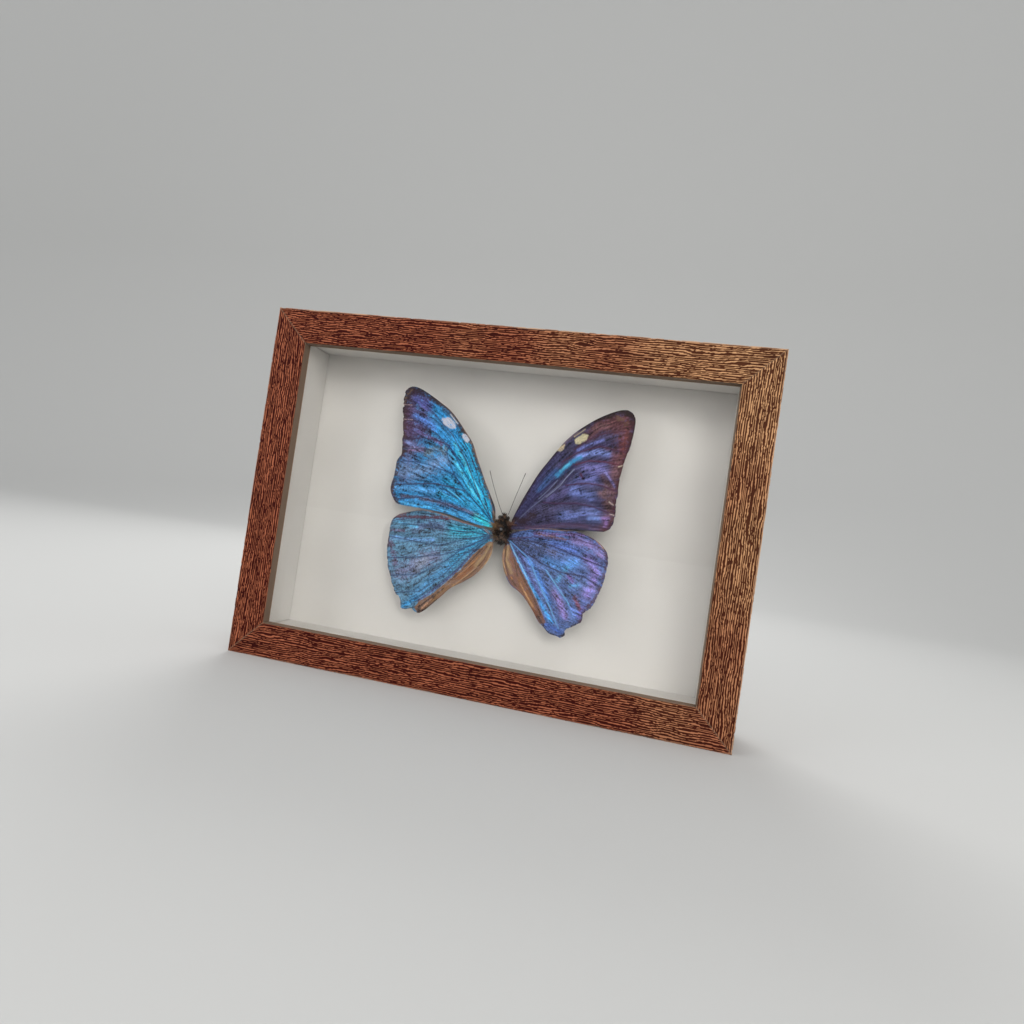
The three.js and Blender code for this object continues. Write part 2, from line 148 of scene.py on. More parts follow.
def fade(low, high, value):
    """0 below low, 1 above high, and a smooth rise between them."""
    return ease(np.clip((value - low) / (high - low), 0, 1))


def noise(x, y, seed):
    """Smooth random values from 0 to 1 that change once for each unit of x and of y."""
    cells = np.random.default_rng(seed).random((NOISE_CELLS, NOISE_CELLS))
    column, row = np.floor(x).astype(int), np.floor(y).astype(int)
    right, up = ease(x - column), ease(y - row)

    def corner(i, j):
        return cells[(column + i) % NOISE_CELLS, (row + j) % NOISE_CELLS]

    low = corner(0, 0) * (1 - right) + corner(1, 0) * right
    high = corner(0, 1) * (1 - right) + corner(1, 1) * right
    return low * (1 - up) + high * up


def spline(points, shares):
    """Places on a smooth curve through the points, at these shares of its length."""
    points = np.array(points, float)
    fine = np.linspace(0, len(points) - 1, 60 * len(points))
    whole = np.minimum(fine.astype(int), len(points) - 2)
    t = (fine - whole)[:, None]
    ends = np.vstack([points[:1], points, points[-1:]])
    before, start, end, after = [ends[whole + i] for i in range(4)]
    leave, arrive = (end - before) / 2, (after - start) / 2
    curve = start + leave * t + (3 * (end - start) - 2 * leave - arrive) * t ** 2
    curve += (2 * (start - end) + leave + arrive) * t ** 3
    length = np.append(0, np.cumsum(np.linalg.norm(np.diff(curve, axis=0), axis=1)))
    at = np.asarray(shares) * length[-1]
    return np.stack([np.interp(at, length, curve[:, i]) for i in range(curve.shape[1])], -1)


def distance_to_line(x, z, points):
    """The distance from each place to the nearest point of a line through the points."""
    nearest = np.full(np.shape(x), np.inf)
    for (ax, az), (bx, bz) in zip(points, points[1:]):
        dx, dz = bx - ax, bz - az
        share = np.clip(((x - ax) * dx + (z - az) * dz) / (dx * dx + dz * dz), 0, 1)
        nearest = np.minimum(nearest, np.hypot(x - ax - share * dx, z - az - share * dz))
    return nearest


def inside_line(x, z, points):
    """Whether each place lies inside a closed line."""
    inside = np.zeros(np.shape(x), bool)
    for (ax, az), (bx, bz) in zip(points, points[1:]):
        if az != bz:
            crossing = (az > z) != (bz > z)
            inside ^= crossing & (x < (bx - ax) * (z - az) / (bz - az) + ax)
    return inside


def make_piece(name, points, faces, materials, values=()):
    """An object from points in millimetres. Values are its named per-point numbers or colours."""
    mesh = bpy.data.meshes.new(name)
    mesh.from_pydata((np.asarray(points, float) * MM).tolist(), [], faces)
    for title, numbers in dict(values).items():
        if np.ndim(numbers) == 2 and np.shape(numbers)[1] == 2:
            corner = np.empty(len(mesh.loops), int)
            mesh.loops.foreach_get("vertex_index", corner)
            mesh.uv_layers.new(name=title).uv.foreach_set("vector", numbers[corner].ravel())
            continue
        kind, field = ("FLOAT_COLOR", "color") if np.ndim(numbers) == 2 else ("FLOAT", "value")
        made = mesh.attributes.new(title, kind, "POINT")
        made.data.foreach_set(field, np.ascontiguousarray(numbers, np.float32).ravel())
    mesh.polygons.foreach_set("use_smooth", [True] * len(mesh.polygons))
    mesh.set_sharp_from_angle(angle=math.radians(60))
    for material in materials:
        mesh.materials.append(material)
    piece = bpy.data.objects.new(name, mesh)
    bpy.context.scene.collection.objects.link(piece)
    return piece


def keep(piece, slot, *nodes):
    """The piece rides with the frame and stands for these solids. Its slot is not used."""
    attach(piece, "root")
    if nodes:
        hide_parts(*nodes)


# ------------------------------------------------------------------ materials

def add(tree, kind, inputs=(), **settings):
    """Adds a node with its settings, and sets its inputs or links them to other nodes' sockets."""
    made = tree.nodes.new(kind)
    for name, value in settings.items():
        setattr(made, name, value)
    for name, value in dict(inputs).items():
        if isinstance(value, bpy.types.NodeSocket):
            tree.links.new(value, made.inputs[name])
        else:
            made.inputs[name].default_value = value
    return made


def remap(tree, value, low, high, to_low=0.0, to_high=1.0, shape="LINEAR"):
    """The value, moved from the range between low and high into another range."""
    return add(tree, "ShaderNodeMapRange", {
        "Value": value, "From Min": low, "From Max": high, "To Min": to_low, "To Max": to_high},
        interpolation_type=shape).outputs[0]


def maths(tree, operation, *values):
    """The result of one Math node."""
    return add(tree, "ShaderNodeMath", dict(enumerate(values)), operation=operation).outputs[0]


def blend(tree, share, first, second):
    """Two numbers mixed by a share."""
    return add(tree, "ShaderNodeMix", {"Factor": share, "A": first, "B": second}).outputs[0]


def blend_colours(tree, share, first, second, way="MIX"):
    """Two colours mixed by a share. Each is an sRGB hex value or a node's socket."""
    first, second = [linear(c) if isinstance(c, str) else c for c in (first, second)]
    return add(tree, "ShaderNodeMix", {0: share, MIX_A: first, MIX_B: second},
               data_type="RGBA", blend_type=way).outputs[MIX_RESULT]


def mottle(tree, place, scale, detail, roughness=0.5):
    """Soft random values over a place. One patch measures about 1 / scale."""
    return add(tree, "ShaderNodeTexNoise", {
        "Vector": place, "Scale": scale, "Detail": detail, "Roughness": roughness}).outputs["Fac"]


def stretch(tree, place, scale):
    """A place scaled by its own number along each axis."""
    return add(tree, "ShaderNodeMapping", {"Vector": place, "Scale": scale}).outputs[0]


def own_place(tree):
    """The place on the object, in metres of the part's frame."""
    return add(tree, "ShaderNodeTexCoord").outputs["Object"]


def painted(tree, name):
    """A number that the mesh carries at its points."""
    return add(tree, "ShaderNodeAttribute", attribute_name=name).outputs["Fac"]


def start_material(name, **surface):
    """A material, its tree and its shader, the shader's sockets set to these values."""
    material = bpy.data.materials.new(name)
    material.use_nodes = True
    shader = material.node_tree.nodes["Principled BSDF"]
    for title, value in surface.items():
        shader.inputs[title.replace("_", " ")].default_value = value
    return material, material.node_tree, shader


def dress(tree, shader, colour, height=None, strength=0.0, depth=0.0):
    """Gives the shader its colour, and a fine relief of this depth in millimetres."""
    tree.links.new(colour, shader.inputs["Base Color"])
    if height is not None:
        bump = add(tree, "ShaderNodeBump", {
            "Height": height, "Strength": strength, "Distance": depth * MM})
        tree.links.new(bump.outputs[0], shader.inputs["Normal"])


def woodgrain_foil():
    """Printed PVC foil, embossed and wrapped over a fibreboard moulding. Dark red-brown grooves between
    lighter ridges, with a low sheen. A painted sheen turns the ridges and grooves from red to gold
    towards the right and the top right, and the outer edges are lightened by rubbing and by a painted
    highlight."""
    material, tree, shader = start_material(
        "woodgrain_foil", Roughness=0.58, IOR=1.5, Specular_IOR_Level=0.08)
    golden = painted(tree, "golden")
    # Printed streaks 5 mm long and 0.35 mm wide; the UV map is in millimetres.
    place = add(tree, "ShaderNodeUVMap", uv_map="along_grain").outputs["UV"]
    streak = remap(tree, mottle(tree, stretch(tree, place, (0.2, 2.8, 1)), 1.0, 3.0, 0.6), 0.38, 0.62)
    # Blotches of stain about 25 mm by 5 mm.
    blotches = mottle(tree, stretch(tree, place, (0.04, 0.2, 1)), 1.0, 2.0)
    grain = blend(tree, 0.2, painted(tree, "grain"), streak)
    # The edge between groove and ridge is sharper than the mesh can carry, most in the front,
    # where the mesh is finest.
    sharp = remap(tree, grain, 0.3, 0.84, shape="SMOOTHSTEP")
    depth = add(tree, "ShaderNodeSeparateXYZ", {0: own_place(tree)}).outputs["Y"]
    in_front = remap(tree, depth, (FRONT + 1) * MM, (FRONT + 4) * MM, 1.0, 0.15)
    crisp = blend(tree, in_front, grain, sharp)
    # Painted sheen: the ridges and grooves turn from red to gold where it is high.
    ridge = blend_colours(tree, golden, "#A25E42", "#C89A6E")
    groove = blend_colours(tree, golden, "#3C0C06", "#4E2A16")
    wood = blend_colours(tree, crisp, groove, ridge)
    stain = remap(tree, blotches, 0.45, 0.7, 0.0, 0.3)
    stained = blend_colours(tree, stain, wood, "#6E2C20", "MULTIPLY")
    plain = blend_colours(tree, painted(tree, "lip"), stained, "#7C6858")
    # The outer edges lighten where rubbing has thinned the foil and under a painted highlight.
    rubbed_and_lit = blend_colours(tree, painted(tree, "wear"), plain, "#C4A184")
    dress(tree, shader, rubbed_and_lit, streak, 0.5, 0.08)
    return material


def moulding_core():
    """Raw medium-density fibreboard, sawn and planed. Dull tan, with fine short fibres."""
    material, tree, shader = start_material("fibreboard_core_sawn", Roughness=0.88)
    place = own_place(tree)
    fibres = mottle(tree, place, 0.9 / MM, 4.0, 0.7)
    clouds = mottle(tree, place, 0.06 / MM, 2.0)
    tone = remap(tree, blend(tree, 0.35, fibres, clouds), 0.35, 0.65)
    dress(tree, shader, blend_colours(tree, tone, "#7C5C3E", "#A98660"), fibres, 0.5, 0.1)
    return material


def hardboard():
    """Wet-pressed hardboard: brown, hard and slightly shiny, with long dark fibre flecks."""
    material, tree, shader = start_material("hardboard_pressed", Roughness=0.6)
    place = own_place(tree)
    fibres = mottle(tree, stretch(tree, place, (0.35 / MM, 1 / MM, 1.1 / MM)), 1.0, 5.0, 0.75)
    tone = remap(tree, mottle(tree, place, 0.035 / MM, 3.0), 0.35, 0.65)
    board = blend_colours(tree, tone, "#7C583A", "#8A6442")
    flecks = blend_colours(tree, remap(tree, fibres, 0.55, 0.72, 0.0, 0.8), board, "#4A3020")
    dress(tree, shader, flecks, fibres, 0.35, 0.12)
    return material


def white_board():
    """Paper-faced mount board, cut and left bare. Warm grey-white and matt, with a faint tooth."""
    material, tree, shader = start_material(
        "mount_board_white", Roughness=0.85, Specular_IOR_Level=0.25)
    place = own_place(tree)
    # Paper tooth 0.4 mm across, coarser than real so that it shows.
    tooth = mottle(tree, place, 1 / (0.4 * MM), 3.0, 0.6)
    clouds = mottle(tree, place, 0.02 / MM, 2.0)
    shade = remap(tree, blend(tree, 0.3, clouds, tooth), 0.35, 0.65)
    dress(tree, shader, blend_colours(tree, shade, "#D6D3CF", "#E0DDD9"), tooth, 0.25, 0.05)
    return material


def float_glass():
    """Float glass: clear, with sharp reflections. Lamps shine through it without a dark shadow,
    and a trace of dust dulls it a little in patches."""
    material, tree, shader = start_material("float_glass", IOR=1.45, Transmission_Weight=1.0)
    shader.inputs["Base Color"].default_value = linear("#FDFDFC")
    dust = mottle(tree, own_place(tree), 0.012 / MM, 2.0)
    tree.links.new(remap(tree, dust, 0.4, 0.8, 0.0, 0.012), shader.inputs["Roughness"])
    rays = add(tree, "ShaderNodeLightPath")
    clear = add(tree, "ShaderNodeBsdfTransparent", {"Color": linear("#FBFBFA")})
    pane = add(tree, "ShaderNodeMixShader", {
        0: rays.outputs["Is Shadow Ray"], 1: shader.outputs[0], 2: clear.outputs[0]})
    tree.links.new(pane.outputs[0], tree.nodes["Material Output"].inputs["Surface"])
    return material


def bright_metal(name, colour, dull_colour, roughness, scratch_mm):
    """Plated steel, stamped or drawn. Bright with fine scratches along X and duller patches."""
    material, tree, shader = start_material(name, Metallic=1.0, Roughness=roughness)
    place = own_place(tree)
    across = 1 / (scratch_mm * MM)
    scratches = mottle(tree, stretch(tree, place, (0.15 / MM, across, across)), 1.0, 3.0)
    tarnish = remap(tree, mottle(tree, place, 0.35 / MM, 4.0), 0.45, 0.7)
    polish = remap(tree, scratches, 0.0, 1.0, roughness - 0.1, roughness + 0.2)
    tree.links.new(polish, shader.inputs["Roughness"])
    dress(tree, shader, blend_colours(tree, tarnish, colour, dull_colour), scratches, 0.3, 0.03)
    return material


def wing_scales(name, shine, dark):
    """Butterfly wing scales, a dry powder of overlapping plates. The colour lies in strokes that
    break up into specks and streaks along the wing, and the blue scales shine like satin."""
    material, tree, shader = start_material(
        name, Roughness=0.42, Metallic=shine, IOR=1.5, Specular_IOR_Level=0.25)
    strokes = add(tree, "ShaderNodeAttribute", attribute_name="scale_colour").outputs["Color"]
    # Rows of scales are 0.1 mm apart: drawn 0.3 mm apart so that they show.
    rows = mottle(tree, own_place(tree), 1 / (0.3 * MM), 3.0, 0.65)
    # Creases along the wing 5 mm long and 0.3 mm wide, painted into the colour as highlights and shade;
    # the UV map is in millimetres.
    wing = add(tree, "ShaderNodeUVMap", uv_map="along_wing").outputs["UV"]
    creases = mottle(tree, stretch(tree, wing, (0.2, 3.2, 1)), 1.0, 3.0, 0.6)
    crease = remap(tree, creases, 0.3, 0.7, -0.5, 0.5)
    crease_shading = maths(tree, "MULTIPLY_ADD", crease, 0.5, 1.0)
    lit = add(tree, "ShaderNodeVectorMath", {0: strokes, "Scale": crease_shading}, operation="SCALE")
    speck = remap(tree, rows, 0.54, 0.7, 0.0, 0.55)
    relief = maths(tree, "ADD", rows, crease)
    dress(tree, shader, blend_colours(tree, speck, lit.outputs[0], dark), relief, 0.4, 0.12)
    return material


def insect_cuticle():
    """Insect cuticle: thin chitin, nearly black-brown, with a waxy shine on its bumps."""
    material, tree, shader = start_material("insect_cuticle", Roughness=0.45, IOR=1.55)
    pits = mottle(tree, own_place(tree), 1 / (0.35 * MM), 4.0, 0.7)
    shell = blend_colours(tree, remap(tree, pits, 0.4, 0.68), "#080403", "#2C1C12")
    dress(tree, shader, shell, pits, 0.6, 0.15)
    return material


def insect_hair():
    """Fine insect hair. Each hair has its own brown between near-black and grey-tan. Where the
    wings join it is tan on the left and maroon on the right."""
    material, tree, shader = start_material(
        "insect_hair", Roughness=0.65, IOR=1.55, Specular_IOR_Level=0.15)
    tone, maroon = painted(tree, "tone"), painted(tree, "maroon")
    back = blend_colours(tree, remap(tree, tone, 0.6, 0.8), "#070303", "#8C6C56")
    deep = blend_colours(tree, maroon, "#341C12", "#180908")
    light = blend_colours(tree, maroon, "#C29A6C", "#7A5044")
    side = blend_colours(tree, tone, deep, light)
    dress(tree, shader, blend_colours(tree, painted(tree, "flank"), back, side))
    return material


# ------------------------------------------------------------------ rails

def rail_section():
    """The moulding's section as (inset, depth) from its outer front edge, going round once: the
    outer side, the round front, the face, the lip, the rabbet and the back."""
    def straight(start, end, step):
        count = max(2, round(math.dist(start, end) / step) + 1)
        return [tuple(p) for p in np.linspace(start, end, count)[:-1]]

    def arc(centre, first, last, count):
        turns = np.radians(np.linspace(first, last, count))
        return [(centre[0] + EDGE_ROUND * math.cos(t), centre[1] + EDGE_ROUND * math.sin(t))
                for t in turns]

    front_edge, sight_edge = EDGE_ROUND, RAIL_FACE - EDGE_ROUND
    section = straight((0, FRAME_DEPTH), (0, front_edge), STEP_SIDE)
    section += arc((front_edge, EDGE_ROUND), 180, 270, 5)
    section += straight((front_edge + STEP_FACE, 0), (sight_edge, 0), STEP_FACE)
    section += arc((sight_edge, EDGE_ROUND), 270, 360, 5)
    section += straight((RAIL_FACE, EDGE_ROUND + STEP_FACE), (RAIL_FACE, LIP_DEPTH), STEP_FACE)
    section += straight((RAIL_FACE, LIP_DEPTH), (RAIL_WALL, LIP_DEPTH), STEP_BACK)
    section += straight((RAIL_WALL, LIP_DEPTH), (RAIL_WALL, FRAME_DEPTH), STEP_BACK)
    section += straight((RAIL_WALL, FRAME_DEPTH), (0, FRAME_DEPTH), STEP_BACK)
    return np.array(section)


def grain_height(along, around, seed):
    """The foil's embossed grain, 0 in its grooves and 1 on its ridges. The ridges lie 0.9 mm apart,
    break up every few millimetres and wander a little across the rail."""
    drift = noise(along / 32, around / 9, seed) - 0.5
    wander = noise(along / 2.2, around / 1.1, seed + 1) - 0.5
    lines = around + 1.6 * drift + 0.3 * wander
    phase = lines / GRAIN_PITCH + 1.2 * noise(along / 8, lines / 1.8, seed + 2)
    wave = 0.5 + 0.5 * np.sin(2 * math.pi * phase)
    breaks = noise(along / 2.4, lines / 0.5, seed + 3)
    fine = noise(along / 0.8, lines / 0.34, seed + 6)
    return fade(0.51, 0.63, 0.48 * wave + 0.28 * breaks + 0.24 * fine)


def make_rail(name, turn, length, outward, seed, foil, core):
    """One mitred rail: drawn as the bottom rail lies, then turned to its side of the frame."""
    section = rail_section()
    inset, depth = section.T
    around = np.append(0, np.cumsum(np.hypot(*np.diff(section, axis=0).T)))
    half = length / 2 - MITRE_SETBACK - inset
    rows = round(length / STEP_ALONG) + 1
    share = np.linspace(-1, 1, rows)[:, None]
    along = share * half
    across = np.broadcast_to(around, along.shape)
    height = grain_height(along + 400, across + 40, seed)

    # The embossing lies on the foil: on the outer side, the round edges and the face.
    lip_wall = fade(RAIL_FACE - 0.35, RAIL_FACE - 0.05, inset) * fade(0.3, 0.9, depth)
    foiled = (inset < RAIL_WALL - 1e-6) | (depth < LIP_DEPTH - 1e-6)
    foiled &= ~((depth > FRAME_DEPTH - 0.01) & (inset > 0.01))
    sunk = GRAIN_RELIEF * (1 - height) * foiled * (1 - 0.75 * lip_wall)
    # Each point is pressed in along the section's own inward direction.
    ahead, behind = np.roll(section, -1, axis=0), np.roll(section, 1, axis=0)
    run = ahead - behind
    inward = np.stack([-run[:, 1], run[:, 0]], -1)
    inward /= np.maximum(np.linalg.norm(inward, axis=1, keepdims=True), 1e-6)
    middle = np.array((RAIL_WALL / 2, FRAME_DEPTH / 2))
    inward *= np.where(np.einsum("ij,ij->i", inward, middle - section) < 0, -1, 1)[:, None]
    sunk[[0, -1]] = 0
    in_inset = inset + sunk * inward[:, 0]
    in_depth = depth + sunk * inward[:, 1]
    level, up, y = along, in_inset - outward, in_depth + FRONT
    x, z = {0: (level, up), 1: (-up, level), 2: (-level, -up), 3: (up, -level)}[turn]
    z = z + FRAME_HEIGHT / 2
    points = np.stack([x, y, z], -1).reshape(-1, 3)

    size = len(section)
    faces = []
    for i in range(rows - 1):
        for j in range(size):
            k = (j + 1) % size
            faces.append((i * size + j, (i + 1) * size + j, (i + 1) * size + k, i * size + k))
    faces += [tuple(range(size)), tuple(reversed(range((rows - 1) * size, rows * size)))]

    # A painted sheen: the foil is redder to the left and below and turns to gold towards the right and
    # the top right, where the light falls. Patches vary it at random.
    toward_light = x / FRAME_WIDTH + 0.4 * (z / FRAME_HEIGHT - 0.5)
    patchy = 0.3 * (noise(x / 22 + 40, z / 22 + 40, seed + 4) - 0.5)
    golden = fade(0, 0.85, toward_light + patchy)
    front = depth < 1.2
    # Rubbing along the outer front edge, with a painted highlight there that is strongest on the right
    # and top rails, where the light falls, and a light line at the mitres.
    outer_edge = np.exp(-((inset - 0.2) / 0.35) ** 2) * front
    rubs = fade(0.35, 0.75, noise(along / 6 + 90, across / 3, seed + 5))
    mitre = np.exp(-((1 - np.abs(share)) * half / 0.3) ** 2) * front
    lit_side = {0: 0.35, 1: 0.8, 2: 0.9, 3: 0.35}[turn]
    wear = np.clip(lit_side * outer_edge * (0.3 + 0.7 * rubs) + 0.25 * mitre, 0, 1)
    lip = np.broadcast_to(lip_wall, along.shape)
    values = {
        "grain": height.ravel(), "golden": golden.ravel(), "wear": wear.ravel(),
        "lip": lip.ravel(), "along_grain": np.stack([along, across], -1).reshape(-1, 2)}
    piece = make_piece(name, points, faces, [foil, core], values)
    bare = [not (foiled[j] and foiled[(j + 1) % size]) for j in range(size)]
    indices = np.append(np.tile(np.array(bare, int), rows - 1), (1, 1)).astype(np.int32)
    piece.data.polygons.foreach_set("material_index", indices)
    for cap in (-1, -2):
        piece.data.polygons[cap].use_smooth = False
    return piece
